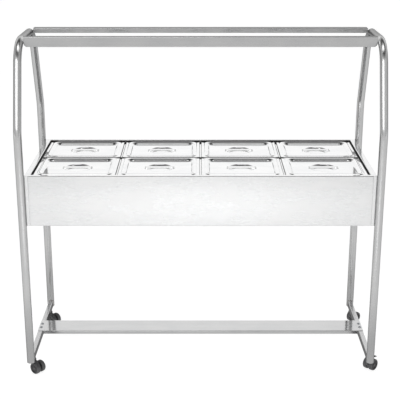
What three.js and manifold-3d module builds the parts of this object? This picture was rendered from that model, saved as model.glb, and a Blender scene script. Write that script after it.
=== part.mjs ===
// Mobile steam table: an eight-pan heated well in a stainless body, hung between two bent-tube arches
// that stand on twin-wheel swivel casters. Millimetres, +Z up, +X to the right, the front faces -Y.
// The origin is on the floor, midway between the four legs.
import * as THREE from 'three';
import { mergeVertices } from 'three/addons/utils/BufferGeometryUtils.js';
import Module from 'manifold-3d';

const wasm = await Module();
wasm.setup();

// ---- driving dimensions ----
const GAP = 0.3; // clearance kept between pieces that touch
const SHEET = 1.5; // gauge of folded panels, bars and tank
const CUT = 1; // how far a cutting solid runs past the face that it cuts

const LEG_X = 712.5; // leg centre lines, left and right
const LEG_Y = 290; // leg centre lines, front and rear
const TUBE_R = 16;
const TUBE_BORE_R = 14.5;
const LEG_BOTTOM_Z = 66;
const KNEE_Z = 1048; // the posts lean towards each other above here
const CROWN_Z = 1388; // centre line of the flat top of each arch
const LEAN = THREE.MathUtils.degToRad(18.9);
const KNEE_BEND_R = 150;
const CROWN_BEND_R = 115;

const FOOT_X = 710; // foot bars, front to rear between the leg ends
const FOOT_WIDTH = 20;
const FOOT_HEIGHT = 30;
const STEM_Y = 240; // caster stems under the foot bars

const STRETCHER_HALF_X = 720;
const STRETCHER_HALF_Y = 55;
const STRETCHER_LIP = 15;
const LIP_END_GAP = 4; // the lips stop this far short of the foot bars

const BAR_LONG_SIDE = 41; // both overhead bars are one channel, upright in front and flat behind
const BAR_SHORT_SIDE = 20;
const BAR_Y = 125;
const BAR_TOP_Z = CROWN_Z + TUBE_R;

const BODY_HALF_X = LEG_X - TUBE_R - GAP;
const BODY_HALF_Y = 292;
const BODY_BOTTOM_Z = 672;
const DECK_Z = 882;
const PANEL_RETURN = 14; // the end panels wrap this far round the front and rear

const COLUMNS = 4;
const ROWS = 2;
const CELL_X = 335; // pitch of the half-size gastronorm pans
const CELL_Y = 275;
const PAN_X = 325;
const PAN_Y = 265;
const PAN_DEPTH = 100;
const PAN_SHEET = 1.2;
const PAN_CORNER_R = 12;
const PAN_RIM = 12; // width of the flange round a pan's mouth
const PAN_TAPER = 8;
const PAN_FLOOR_R = 10;
const RECESS = 10.5; // the deck opening steps down to the pan ledge
const OPENING_HALF_X = 674;
const OPENING_HALF_Y = 277.5;
const LEDGE_HALF_X = 660;
const LEDGE_HALF_Y = 262.5;
const LEDGE_Z = DECK_Z - RECESS + SHEET;
const DIVIDER_WIDTH = 24;
const DIVIDER_WEB = 18;
const TANK_FLOOR_Z = 700;
const TANK_CLEARANCE = 1; // the tank's walls stand back from the ledge's inner edge
const TANK_RIM_X = 25;
const TANK_RIM_Y = 23;

const CASTER_TRAIL = 24;
const WHEEL_R = 25;
const WHEEL_WIDTH = 17;
const WEB_HALF = 5.5; // half the thickness of the fork plate between the two wheels
const AXLE_R = 3;
const AXLE_HALF = 17;
const STEM_PIN_R = 4;
const STEM_FLANGE_R = 9;
const STEM_SCREW_R = 5;

const BEND_STEP = THREE.MathUtils.degToRad(12);

// ---- materials ----
const MIRROR_STEEL = new THREE.MeshStandardMaterial({ color: 0xe9eaec, roughness: 0.12, metalness: 1 });
const SATIN_STEEL = new THREE.MeshStandardMaterial({ color: 0xdfe0e2, roughness: 0.3, metalness: 1 });
const TUBE_STEEL = new THREE.MeshStandardMaterial({ color: 0xb4b5b7, roughness: 0.38, metalness: 1 });
const ZINC_STEEL = new THREE.MeshStandardMaterial({ color: 0xa9abad, roughness: 0.45, metalness: 1 });
const BRASS = new THREE.MeshStandardMaterial({ color: 0xb58a4a, roughness: 0.35, metalness: 1 });
const BLACK_PLASTIC = new THREE.MeshStandardMaterial({ color: 0x2b2b2c, roughness: 0.55, metalness: 0 });
const RED_LENS = new THREE.MeshStandardMaterial({ color: 0xb3201c, roughness: 0.2, metalness: 0 });

const model = new THREE.Group();

function addPiece(name, geometry, material, parent = model) {
  const mesh = new THREE.Mesh(geometry, material);
  mesh.name = name;
  parent.add(mesh);
  return mesh;
}

// ---- solids ----
function toSolid(geometry) {
  const bare = geometry.clone();
  bare.deleteAttribute('normal');
  bare.deleteAttribute('uv');
  const merged = mergeVertices(bare, 1e-4);
  const vertProperties = new Float32Array(merged.attributes.position.array);
  const triVerts = new Uint32Array(merged.index.array);
  return new wasm.Manifold(new wasm.Mesh({ numProp: 3, vertProperties, triVerts }));
}

function toGeometry(solid) {
  const { vertProperties, triVerts } = solid.getMesh();
  const geometry = new THREE.BufferGeometry();
  geometry.setAttribute('position', new THREE.BufferAttribute(vertProperties, 3));
  geometry.setIndex(new THREE.BufferAttribute(triVerts, 1));
  return geometry;
}

function block(low, high) {
  const size = high.map((value, i) => value - low[i]);
  const geometry = new THREE.BoxGeometry(...size);
  geometry.translate(...high.map((value, i) => (value + low[i]) / 2));
  return geometry;
}

const blockSolid = (low, high) => toSolid(block(low, high));

function rodSolid(radius, from, to, segments = 12) {
  const start = new THREE.Vector3(...from);
  const along = new THREE.Vector3(...to).sub(start);
  const geometry = new THREE.CylinderGeometry(radius, radius, along.length(), segments);
  geometry.translate(0, along.length() / 2, 0);
  const up = new THREE.Vector3(0, 1, 0);
  geometry.applyQuaternion(new THREE.Quaternion().setFromUnitVectors(up, along.clone().normalize()));
  geometry.translate(start.x, start.y, start.z);
  return toSolid(geometry);
}

// A body turned about Z from [radius, height] pairs that start and end on the axis, listed upwards.
function turned(profile, segments) {
  const points = profile.map(([radius, height]) => new THREE.Vector2(radius, height));
  const geometry = new THREE.LatheGeometry(points, segments);
  geometry.rotateX(Math.PI / 2);
  return geometry;
}

// ---- tubes that follow straight runs and round bends ----
class StationCurve extends THREE.Curve {
  constructor(stations) {
    super();
    this.stations = stations;
  }
  station(u) {
    return this.stations[Math.round(u * (this.stations.length - 1))];
  }
  getPointAt(u, target = new THREE.Vector3()) {
    return target.copy(this.station(u).point);
  }
  getTangentAt(u, target = new THREE.Vector3()) {
    return target.copy(this.station(u).tangent);
  }
}

function bentPath(corners, bendRadii) {
  const stations = [];
  const start = corners[0];
  const firstWay = corners[1].clone().sub(start).normalize();
  stations.push({ point: start, tangent: firstWay });
  for (let i = 1; i < corners.length - 1; i += 1) {
    const wayIn = corners[i].clone().sub(corners[i - 1]).normalize();
    const wayOut = corners[i + 1].clone().sub(corners[i]).normalize();
    const turn = wayIn.angleTo(wayOut);
    const radius = bendRadii[i - 1];
    const axis = wayIn.clone().cross(wayOut).normalize();
    const bendStart = corners[i].clone().addScaledVector(wayIn, -radius * Math.tan(turn / 2));
    const inward = axis.clone().cross(wayIn);
    const centre = bendStart.clone().addScaledVector(inward, radius);
    const steps = Math.max(2, Math.round(turn / BEND_STEP));
    for (let step = 0; step <= steps; step += 1) {
      const angle = (turn * step) / steps;
      const point = inward.clone().multiplyScalar(-radius).applyAxisAngle(axis, angle).add(centre);
      const tangent = wayIn.clone().applyAxisAngle(axis, angle);
      stations.push({ point, tangent });
    }
  }
  const end = corners[corners.length - 1];
  const lastWay = end.clone().sub(corners[corners.length - 2]).normalize();
  stations.push({ point: end, tangent: lastWay });
  return new StationCurve(stations);
}

function circlePoints(radius, count) {
  const points = [];
  for (let i = 0; i < count; i += 1) {
    const angle = (i / count) * 2 * Math.PI;
    points.push(new THREE.Vector2(radius * Math.cos(angle), radius * Math.sin(angle)));
  }
  return points;
}

function tube(path, outerRadius, boreRadius, sides) {
  const section = new THREE.Shape(circlePoints(outerRadius, sides));
  if (boreRadius > 0) section.holes.push(new THREE.Path(circlePoints(boreRadius, sides / 2)));
  const steps = path.stations.length - 1;
  return new THREE.ExtrudeGeometry(section, { steps, extrudePath: path, curveSegments: 1 });
}

// ---- shells lofted through rings of the same number of points ----
const CORNER_POINTS = 4;

function roundedRing(halfX, halfY, radius, z) {
  const ring = [];
  for (let corner = 0; corner < 4; corner += 1) {
    const signX = corner === 0 || corner === 3 ? 1 : -1;
    const signY = corner < 2 ? 1 : -1;
    for (let j = 0; j < CORNER_POINTS; j += 1) {
      const angle = (corner + j / (CORNER_POINTS - 1)) * (Math.PI / 2);
      const x = signX * (halfX - radius) + radius * Math.cos(angle);
      const y = signY * (halfY - radius) + radius * Math.sin(angle);
      ring.push(new THREE.Vector3(x, y, z));
    }
  }
  return ring;
}

function circleRing(radius, z) {
  const ring = [];
  for (let corner = 0; corner < 4; corner += 1) {
    for (let j = 0; j < CORNER_POINTS; j += 1) {
      const angle = (corner + (j + 0.5) / CORNER_POINTS) * (Math.PI / 2);
      ring.push(new THREE.Vector3(radius * Math.cos(angle), radius * Math.sin(angle), z));
    }
  }
  return ring;
}

// The first ring is closed by a face that looks down, the last by one that looks up.
function loft(rings) {
  const count = rings[0].length;
  const positions = rings.flat().flatMap((point) => point.toArray());
  const index = [];
  for (let i = 1; i < count - 1; i += 1) index.push(0, i + 1, i);
  for (let r = 0; r < rings.length - 1; r += 1) {
    for (let i = 0; i < count; i += 1) {
      const next = (i + 1) % count;
      const low = r * count;
      const high = low + count;
      index.push(low + i, low + next, high + next);
      index.push(low + i, high + next, high + i);
    }
  }
  const last = (rings.length - 1) * count;
  for (let i = 1; i < count - 1; i += 1) index.push(last, last + i, last + i + 1);
  const geometry = new THREE.BufferGeometry();
  geometry.setAttribute('position', new THREE.Float32BufferAttribute(positions, 3));
  geometry.setIndex(index);
  return geometry;
}

// ---- frame ----
function archGeometry(side) {
  const inset = (CROWN_Z - KNEE_Z) * Math.tan(LEAN);
  const x = side * LEG_X;
  const corners = [
    new THREE.Vector3(x, -LEG_Y, LEG_BOTTOM_Z),
    new THREE.Vector3(x, -LEG_Y, KNEE_Z),
    new THREE.Vector3(x, -LEG_Y + inset, CROWN_Z),
    new THREE.Vector3(x, LEG_Y - inset, CROWN_Z),
    new THREE.Vector3(x, LEG_Y, KNEE_Z),
    new THREE.Vector3(x, LEG_Y, LEG_BOTTOM_Z),
  ];
  const path = bentPath(corners, [KNEE_BEND_R, CROWN_BEND_R, CROWN_BEND_R, KNEE_BEND_R]);
  return tube(path, TUBE_R, TUBE_BORE_R, 16);
}

// A rectangular tube coped to the round legs, with a hole under each end for a caster stem.
function footBarGeometry(side) {
  const halfWidth = FOOT_WIDTH / 2;
  const reach = LEG_Y - TUBE_R / 2;
  const x = side * FOOT_X;
  const top = LEG_BOTTOM_Z + FOOT_HEIGHT;
  const outer = blockSolid([x - halfWidth, -reach, LEG_BOTTOM_Z], [x + halfWidth, reach, top]);
  const hollowLow = [x - halfWidth + SHEET, -LEG_Y, LEG_BOTTOM_Z + SHEET];
  const hollowHigh = [x + halfWidth - SHEET, LEG_Y, top - SHEET];
  let bar = outer.subtract(blockSolid(hollowLow, hollowHigh));
  for (const end of [-1, 1]) {
    const legLow = [side * LEG_X, end * LEG_Y, LEG_BOTTOM_Z - CUT];
    const legHigh = [side * LEG_X, end * LEG_Y, top + CUT];
    bar = bar.subtract(rodSolid(TUBE_R + GAP, legLow, legHigh, 24));
    const holeLow = [x, end * STEM_Y, LEG_BOTTOM_Z - CUT];
    const holeHigh = [x, end * STEM_Y, LEG_BOTTOM_Z + 2 * SHEET];
    bar = bar.subtract(rodSolid(STEM_SCREW_R + GAP, holeLow, holeHigh));
  }
  return toGeometry(bar);
}

function stretcherGeometry() {
  const bottom = LEG_BOTTOM_Z + FOOT_HEIGHT + GAP;
  const top = bottom + SHEET;
  const lipEnd = FOOT_X - FOOT_WIDTH / 2 - LIP_END_GAP;
  const plateLow = [-STRETCHER_HALF_X, -STRETCHER_HALF_Y, bottom];
  let channel = blockSolid(plateLow, [STRETCHER_HALF_X, STRETCHER_HALF_Y, top]);
  for (const end of [-1, 1]) {
    const face = end * STRETCHER_HALF_Y;
    const inner = face - end * SHEET;
    const low = [-lipEnd, Math.min(face, inner), top - STRETCHER_LIP];
    const high = [lipEnd, Math.max(face, inner), top];
    channel = channel.add(blockSolid(low, high));
  }
  return toGeometry(channel);
}

// A channel of folded sheet along X. Its web faces forwards when upright and upwards when flat.
function overheadBarGeometry(centreY, height, depth, openSide) {
  const halfX = BODY_HALF_X - GAP;
  const low = [-halfX, centreY - depth / 2, BAR_TOP_Z - height];
  const high = [halfX, centreY + depth / 2, BAR_TOP_Z];
  const hollowLow = [-halfX - CUT, low[1] + SHEET, low[2] + SHEET];
  const hollowHigh = [halfX + CUT, high[1] - SHEET, high[2] - SHEET];
  if (openSide === 'rear') hollowHigh[1] = high[1] + CUT;
  if (openSide === 'below') hollowLow[2] = low[2] - CUT;
  return toGeometry(blockSolid(low, high).subtract(blockSolid(hollowLow, hollowHigh)));
}

function buildFrame() {
  for (const [side, word] of [[-1, 'left'], [1, 'right']]) {
    addPiece(`arch_${word}`, archGeometry(side), TUBE_STEEL);
    addPiece(`foot_bar_${word}`, footBarGeometry(side), TUBE_STEEL);
  }
  addPiece('lower_stretcher', stretcherGeometry(), MIRROR_STEEL);
  const front = overheadBarGeometry(-BAR_Y, BAR_LONG_SIDE, BAR_SHORT_SIDE, 'rear');
  addPiece('overhead_bar_front', front, SATIN_STEEL);
  const rear = overheadBarGeometry(BAR_Y, BAR_SHORT_SIDE, BAR_LONG_SIDE, 'below');
  addPiece('overhead_bar_rear', rear, SATIN_STEEL);
}

// ---- body ----
const PANEL_TOP_Z = DECK_Z - SHEET - GAP;
const DRAIN_X = -560;
const DRAIN_Y = 150;
const DRAIN_PIPE_R = 11;
const DRAIN_PIPE_WALL = 3;
const DRAIN_CLEARANCE = 1;
const CONTROL_Z = 775;
const ELEMENT_R = 5;
const ELEMENT_HALF_Y = 90;
const ELEMENT_Z = 716;
const ELEMENT_START_X = -684;
const ELEMENT_BEND_X = 560;
const WIRE_HOLE_R = 10;

function endPanelGeometry(side) {
  const outer = side * BODY_HALF_X;
  const inner = side * (BODY_HALF_X - SHEET);
  const returnEdge = side * (BODY_HALF_X - PANEL_RETURN);
  const outline = [
    [outer, -BODY_HALF_Y],
    [outer, BODY_HALF_Y],
    [returnEdge, BODY_HALF_Y],
    [returnEdge, BODY_HALF_Y - SHEET],
    [inner, BODY_HALF_Y - SHEET],
    [inner, -BODY_HALF_Y + SHEET],
    [returnEdge, -BODY_HALF_Y + SHEET],
    [returnEdge, -BODY_HALF_Y],
  ];
  const shape = new THREE.Shape(outline.map(([x, y]) => new THREE.Vector2(x, y)));
  const height = PANEL_TOP_Z - BODY_BOTTOM_Z;
  const geometry = new THREE.ExtrudeGeometry(shape, { depth: height, bevelEnabled: false });
  geometry.translate(0, 0, BODY_BOTTOM_Z);
  if (side > 0) return geometry;
  const reach = SHEET + CUT;
  const hole = rodSolid(WIRE_HOLE_R, [outer - reach, 0, CONTROL_Z], [outer + reach, 0, CONTROL_Z]);
  return toGeometry(toSolid(geometry).subtract(hole));
}

function bottomPanelGeometry() {
  const halfX = BODY_HALF_X - SHEET - GAP;
  const halfY = BODY_HALF_Y - SHEET - GAP;
  const plate = blockSolid([-halfX, -halfY, BODY_BOTTOM_Z], [halfX, halfY, BODY_BOTTOM_Z + SHEET]);
  const low = [DRAIN_X, DRAIN_Y, BODY_BOTTOM_Z - CUT];
  const high = [DRAIN_X, DRAIN_Y, BODY_BOTTOM_Z + SHEET + CUT];
  return toGeometry(plate.subtract(rodSolid(DRAIN_PIPE_R + DRAIN_CLEARANCE, low, high, 16)));
}

// The top: a flat rim, a step down round the opening, and the ledge that the pan rims rest on.
function deckGeometry() {
  const stepX = OPENING_HALF_X + SHEET;
  const stepY = OPENING_HALF_Y + SHEET;
  const ledgeBottom = DECK_Z - RECESS;
  const rim = blockSolid([-BODY_HALF_X, -BODY_HALF_Y, DECK_Z - SHEET], [BODY_HALF_X, BODY_HALF_Y, DECK_Z]);
  const well = blockSolid([-stepX, -stepY, ledgeBottom], [stepX, stepY, DECK_Z - SHEET / 2]);
  const recessLow = [-OPENING_HALF_X, -OPENING_HALF_Y, LEDGE_Z];
  const recessHigh = [OPENING_HALF_X, OPENING_HALF_Y, DECK_Z + CUT];
  const throatLow = [-LEDGE_HALF_X, -LEDGE_HALF_Y, ledgeBottom - CUT];
  const throatHigh = [LEDGE_HALF_X, LEDGE_HALF_Y, DECK_Z + CUT];
  const deck = rim.add(well).subtract(blockSolid(recessLow, recessHigh));
  return toGeometry(deck.subtract(blockSolid(throatLow, throatHigh)));
}

function tankGeometry() {
  const innerX = LEDGE_HALF_X + TANK_CLEARANCE;
  const innerY = LEDGE_HALF_Y + TANK_CLEARANCE;
  const rimTop = DECK_Z - RECESS - GAP;
  const outerLow = [-innerX - SHEET, -innerY - SHEET, TANK_FLOOR_Z - SHEET];
  const outer = blockSolid(outerLow, [innerX + SHEET, innerY + SHEET, rimTop]);
  const rimX = innerX + TANK_RIM_X;
  const rimY = innerY + TANK_RIM_Y;
  const rim = blockSolid([-rimX, -rimY, rimTop - SHEET], [rimX, rimY, rimTop]);
  const inside = blockSolid([-innerX, -innerY, TANK_FLOOR_Z], [innerX, innerY, rimTop + CUT]);
  const reach = SHEET + CUT;
  let tank = outer.add(rim).subtract(inside);
  for (const end of [-1, 1]) {
    const low = [-innerX - reach, end * ELEMENT_HALF_Y, ELEMENT_Z];
    const high = [-innerX + reach, end * ELEMENT_HALF_Y, ELEMENT_Z];
    tank = tank.subtract(rodSolid(ELEMENT_R + GAP, low, high));
  }
  const drainLow = [DRAIN_X, DRAIN_Y, TANK_FLOOR_Z - reach];
  const drainHigh = [DRAIN_X, DRAIN_Y, TANK_FLOOR_Z + reach];
  return toGeometry(tank.subtract(rodSolid(DRAIN_PIPE_R - DRAIN_PIPE_WALL, drainLow, drainHigh)));
}

// T-section bars: one along the middle and one between each pair of columns.
function dividerGridGeometry() {
  const top = LEDGE_Z;
  const bottom = LEDGE_Z - SHEET;
  const halfX = LEDGE_HALF_X - GAP;
  const halfY = LEDGE_HALF_Y - GAP;
  const halfBar = DIVIDER_WIDTH / 2;
  const halfWeb = SHEET / 2;
  let grid = blockSolid([-halfX, -halfBar, bottom], [halfX, halfBar, top]);
  grid = grid.add(blockSolid([-halfX, -halfWeb, bottom - DIVIDER_WEB], [halfX, halfWeb, top]));
  for (let i = 1; i < COLUMNS; i += 1) {
    const x = (i - COLUMNS / 2) * CELL_X;
    grid = grid.add(blockSolid([x - halfBar, -halfY, bottom], [x + halfBar, halfY, top]));
    grid = grid.add(blockSolid([x - halfWeb, -halfY, bottom - DIVIDER_WEB], [x + halfWeb, halfY, top]));
  }
  return toGeometry(grid);
}

function buildBody() {
  const faceHalf = BODY_HALF_X - PANEL_RETURN - GAP;
  const skin = BODY_HALF_Y - SHEET;
  const frontLow = [-faceHalf, -BODY_HALF_Y, BODY_BOTTOM_Z];
  const rearHigh = [faceHalf, BODY_HALF_Y, PANEL_TOP_Z];
  addPiece('front_panel', block(frontLow, [faceHalf, -skin, PANEL_TOP_Z]), SATIN_STEEL);
  addPiece('rear_panel', block([-faceHalf, skin, BODY_BOTTOM_Z], rearHigh), SATIN_STEEL);
  addPiece('end_panel_left', endPanelGeometry(-1), SATIN_STEEL);
  addPiece('end_panel_right', endPanelGeometry(1), SATIN_STEEL);
  addPiece('bottom_panel', bottomPanelGeometry(), SATIN_STEEL);
  addPiece('deck_frame', deckGeometry(), MIRROR_STEEL);
  addPiece('water_tank', tankGeometry(), SATIN_STEEL);
  addPiece('divider_grid', dividerGridGeometry(), MIRROR_STEEL);
}

// ---- pans and lids ----
const PAN_RIM_Z = LEDGE_Z + GAP + PAN_SHEET;
const LID_FLANGE_Z = PAN_RIM_Z + GAP + PAN_SHEET;

// Each ring is given by how far it stands in from the rim's edge, its corner radius and its height.
function panGeometry() {
  const wall = PAN_RIM;
  const heel = wall + PAN_TAPER;
  const floor = heel + PAN_FLOOR_R;
  const floorZ = -PAN_DEPTH;
  const heelZ = floorZ + PAN_FLOOR_R;
  const rings = [
    [floor, 28, floorZ],
    [heel, 34, heelZ],
    [wall, 30, -PAN_SHEET],
    [0, PAN_CORNER_R, -PAN_SHEET],
    [0, PAN_CORNER_R, 0],
    [wall + PAN_SHEET, 30 - PAN_SHEET, 0],
    [heel + PAN_SHEET, 34 - PAN_SHEET, heelZ],
    [floor, 28, floorZ + PAN_SHEET],
  ];
  return loft(rings.map(([inset, radius, z]) => roundedRing(PAN_X / 2 - inset, PAN_Y / 2 - inset, radius, z)));
}

const LID_BEAD_Z = 3; // crest of the bead and level of the sunken panel, from the flange
const LID_PANEL_Z = -5;
const DISH_R = 54;
const DISH_SLOPE = 8;
const DISH_DEPTH = 11.5;
const HANDLE_OVERLAP = 7; // how far each foot of the strap reaches past the dish
const HANDLE_WIDTH = 30;
const HANDLE_THICK = 2.2;
const HANDLE_SUNK = 0.5;

// A pressed lid: flat flange, raised bead, lower panel and a round dish with a strap across it.
function lidGeometry() {
  const insetRing = (inset, radius, z) => roundedRing(PAN_X / 2 - inset, PAN_Y / 2 - inset, radius, z);
  const upper = [
    insetRing(0, PAN_CORNER_R, 0),
    insetRing(10, 20, 0),
    insetRing(14, 24, LID_BEAD_Z),
    insetRing(20, 26, LID_BEAD_Z),
    insetRing(34, 22, LID_PANEL_Z),
    circleRing(DISH_R, LID_PANEL_Z),
    circleRing(DISH_R - DISH_SLOPE, LID_PANEL_Z - DISH_DEPTH),
  ];
  const drop = new THREE.Vector3(0, 0, -PAN_SHEET);
  const under = upper.map((ring) => ring.map((point) => point.clone().add(drop))).reverse();
  const pressing = toSolid(loft([...under, ...upper]));
  const strapX = DISH_R + HANDLE_OVERLAP;
  const strapZ = LID_PANEL_Z - HANDLE_SUNK;
  const strapLow = [-strapX, -HANDLE_WIDTH / 2, strapZ];
  const strapHigh = [strapX, HANDLE_WIDTH / 2, strapZ + HANDLE_THICK];
  return toGeometry(pressing.add(blockSolid(strapLow, strapHigh)));
}

function buildPans() {
  const pan = panGeometry();
  const lid = lidGeometry();
  for (let row = 0; row < ROWS; row += 1) {
    const rowWord = row === 0 ? 'front' : 'rear';
    for (let column = 0; column < COLUMNS; column += 1) {
      const station = new THREE.Group();
      const x = (column - (COLUMNS - 1) / 2) * CELL_X;
      const y = (row - (ROWS - 1) / 2) * CELL_Y;
      station.position.set(x, y, 0);
      model.add(station);
      const place = `${rowWord}_${column + 1}`;
      addPiece(`pan_${place}`, pan, MIRROR_STEEL, station).position.z = PAN_RIM_Z;
      addPiece(`lid_${place}`, lid, MIRROR_STEEL, station).position.z = LID_FLANGE_Z;
    }
  }
}

// ---- heating, control and drain ----
const CONTROL_FACE_X = -BODY_HALF_X - GAP;
const CONTROL_DEPTH = 32;
const CONTROL_HALF_Y = 62;
const CONTROL_HALF_Z = 48;
const KNOB_Y = 22;
const LAMP_Y = -36;
const GLAND_Y = 15;
const SHAFT_R = 3; // thermostat shaft
const LAMP_R = 6;
const GLAND_R = 6;
const SEAT_DEPTH = 8; // how far the shaft and the lamp reach behind the face

function elementGeometry() {
  const corners = [
    new THREE.Vector3(ELEMENT_START_X, -ELEMENT_HALF_Y, ELEMENT_Z),
    new THREE.Vector3(ELEMENT_BEND_X, -ELEMENT_HALF_Y, ELEMENT_Z),
    new THREE.Vector3(ELEMENT_BEND_X, ELEMENT_HALF_Y, ELEMENT_Z),
    new THREE.Vector3(ELEMENT_START_X, ELEMENT_HALF_Y, ELEMENT_Z),
  ];
  return tube(bentPath(corners, [60, 60]), ELEMENT_R, 0, 8);
}

// An open-backed cover with holes for the knob's shaft and the lamp, and one below for the gland.
function controlBoxGeometry() {
  const backX = CONTROL_FACE_X;
  const frontX = CONTROL_FACE_X - CONTROL_DEPTH;
  const outerLow = [frontX, -CONTROL_HALF_Y, CONTROL_Z - CONTROL_HALF_Z];
  const outerHigh = [backX, CONTROL_HALF_Y, CONTROL_Z + CONTROL_HALF_Z];
  const hollowLow = [frontX + SHEET, outerLow[1] + SHEET, outerLow[2] + SHEET];
  const hollowHigh = [backX + CUT, outerHigh[1] - SHEET, outerHigh[2] - SHEET];
  let cover = blockSolid(outerLow, outerHigh).subtract(blockSolid(hollowLow, hollowHigh));
  const reach = SHEET + CUT;
  for (const [y, radius] of [[KNOB_Y, SHAFT_R], [LAMP_Y, LAMP_R]]) {
    const holeLow = [frontX - CUT, y, CONTROL_Z];
    cover = cover.subtract(rodSolid(radius + GAP, holeLow, [frontX + reach, y, CONTROL_Z]));
  }
  const glandX = frontX + CONTROL_DEPTH / 2;
  const floorZ = CONTROL_Z - CONTROL_HALF_Z;
  const glandLow = [glandX, GLAND_Y, floorZ - CUT];
  const glandHole = rodSolid(GLAND_R + GAP, glandLow, [glandX, GLAND_Y, floorZ + reach]);
  return toGeometry(cover.subtract(glandHole));
}

function buildControls() {
  addPiece('heating_element', elementGeometry(), ZINC_STEEL);
  addPiece('control_box', controlBoxGeometry(), SATIN_STEEL);
  const faceX = CONTROL_FACE_X - CONTROL_DEPTH;

  const knobProfile = [
    [0, -SEAT_DEPTH], [SHAFT_R, -SEAT_DEPTH], [SHAFT_R, GAP], [19, GAP],
    [21, 3], [18, 18], [16, 20.5], [0, 20.5],
  ];
  const knob = turned(knobProfile, 20);
  knob.rotateY(-Math.PI / 2);
  addPiece('thermostat_knob', knob, BLACK_PLASTIC).position.set(faceX, KNOB_Y, CONTROL_Z);

  const lampProfile = [
    [0, -SEAT_DEPTH], [LAMP_R, -SEAT_DEPTH], [LAMP_R, GAP], [9, GAP], [9, 3], [5, 6.5], [0, 7.5],
  ];
  const lamp = turned(lampProfile, 16);
  lamp.rotateY(-Math.PI / 2);
  addPiece('pilot_lamp', lamp, RED_LENS).position.set(faceX, LAMP_Y, CONTROL_Z);

  const glandProfile = [
    [0, -24], [4.5, -24], [9, -20], [9, -6], [11, -6], [11, -GAP], [GLAND_R, -GAP], [GLAND_R, 7], [0, 7],
  ];
  const gland = turned(glandProfile, 12);
  const glandX = faceX + CONTROL_DEPTH / 2;
  addPiece('cable_gland', gland, BLACK_PLASTIC).position.set(glandX, GLAND_Y, CONTROL_Z - CONTROL_HALF_Z);
}

const VALVE_Z = 636; // centre of the ball valve under the bottom panel
const VALVE_LEVER_X = 22;
const VALVE_FLANGE_R = 20;
const VALVE_FLANGE_THICK = 3;

function buildDrain() {
  const top = TANK_FLOOR_Z - SHEET - GAP - VALVE_Z;
  const profile = [
    [0, -42], [9, -42], [9, -24], [16, -24], [16, 20], [DRAIN_PIPE_R, 24],
    [DRAIN_PIPE_R, top - VALVE_FLANGE_THICK], [VALVE_FLANGE_R, top - VALVE_FLANGE_THICK],
    [VALVE_FLANGE_R, top], [0, top],
  ];
  addPiece('drain_valve', turned(profile, 16), BRASS).position.set(DRAIN_X, DRAIN_Y, VALVE_Z);

  const grip = blockSolid([0, -7, -6], [3, 7, 72]);
  const hub = rodSolid(8, [-4, 0, 0], [4, 0, 0], 12);
  const lever = addPiece('drain_lever', toGeometry(grip.add(hub)), BLACK_PLASTIC);
  lever.position.set(DRAIN_X + VALVE_LEVER_X, DRAIN_Y, VALVE_Z);
  lever.rotation.x = -Math.PI / 2;
}

// ---- casters: local +X points the way the wheels trail from the stem ----
const CASTERS = [
  { place: 'front_left', x: -FOOT_X, y: -STEM_Y, heading: -38 },
  { place: 'front_right', x: FOOT_X, y: -STEM_Y, heading: 45, brake: true },
  { place: 'rear_left', x: -FOOT_X, y: STEM_Y, heading: -38 },
  { place: 'rear_right', x: FOOT_X, y: STEM_Y, heading: 45 },
];
const HOUSING_CAP_Z = 2 * WHEEL_R + 0.8; // underside of the round cap, just over the wheels
const HOUSING_TOP_Z = 60;
const HOUSING_CAP_R = 11;
const STEM_END_Z = 38;
const STEM_SCREW_TOP_Z = 84;
const WHEEL_GAP = 0.7; // between the fork plate and each wheel
const WHEEL_BORE_DEPTH = 12;
const BRAKE_HALF = 8;

function stemGeometry() {
  return turned([
    [0, STEM_END_Z], [STEM_PIN_R, STEM_END_Z], [STEM_PIN_R, HOUSING_TOP_Z + GAP],
    [STEM_FLANGE_R, HOUSING_TOP_Z + GAP], [STEM_FLANGE_R, LEG_BOTTOM_Z - GAP],
    [STEM_SCREW_R, LEG_BOTTOM_Z - GAP], [STEM_SCREW_R, STEM_SCREW_TOP_Z], [0, STEM_SCREW_TOP_Z],
  ], 12);
}

function housingGeometry() {
  const outline = [
    [-8, HOUSING_CAP_Z + 1], [-8, 34], [10, 15], [18, 11], [28, 11], [36, 17],
    [38, 27], [33, 37], [22, 48], [11, HOUSING_CAP_Z - 0.6], [9, HOUSING_CAP_Z + 1],
  ];
  const shape = new THREE.Shape(outline.map(([x, z]) => new THREE.Vector2(x, z)));
  const plate = new THREE.ExtrudeGeometry(shape, { depth: 2 * WEB_HALF, bevelEnabled: false });
  plate.rotateX(Math.PI / 2);
  plate.translate(0, WEB_HALF, 0);
  const cap = rodSolid(HOUSING_CAP_R, [0, 0, HOUSING_CAP_Z], [0, 0, HOUSING_TOP_Z], 16);
  const stemLow = [0, 0, STEM_END_Z - GAP];
  const stemBore = rodSolid(STEM_PIN_R + GAP, stemLow, [0, 0, HOUSING_TOP_Z + CUT]);
  const reach = WEB_HALF + CUT;
  const axleLow = [CASTER_TRAIL, -reach, WHEEL_R];
  const axleBore = rodSolid(AXLE_R + GAP, axleLow, [CASTER_TRAIL, reach, WHEEL_R]);
  return toGeometry(toSolid(plate).add(cap).subtract(stemBore).subtract(axleBore));
}

// Heights run from the inner face at 0 to the outer face, and the bore is blind.
function wheelGeometry() {
  const profile = [
    [0, WHEEL_BORE_DEPTH], [AXLE_R + GAP, WHEEL_BORE_DEPTH], [AXLE_R + GAP, 0],
    [WHEEL_R - 1.5, 0], [WHEEL_R, 1.5],
    [WHEEL_R, WHEEL_WIDTH - 3], [WHEEL_R - 3, WHEEL_WIDTH], [19, WHEEL_WIDTH],
    [16, WHEEL_WIDTH - 2], [0, WHEEL_WIDTH - 1],
  ];
  return turned(profile, 16);
}

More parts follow.
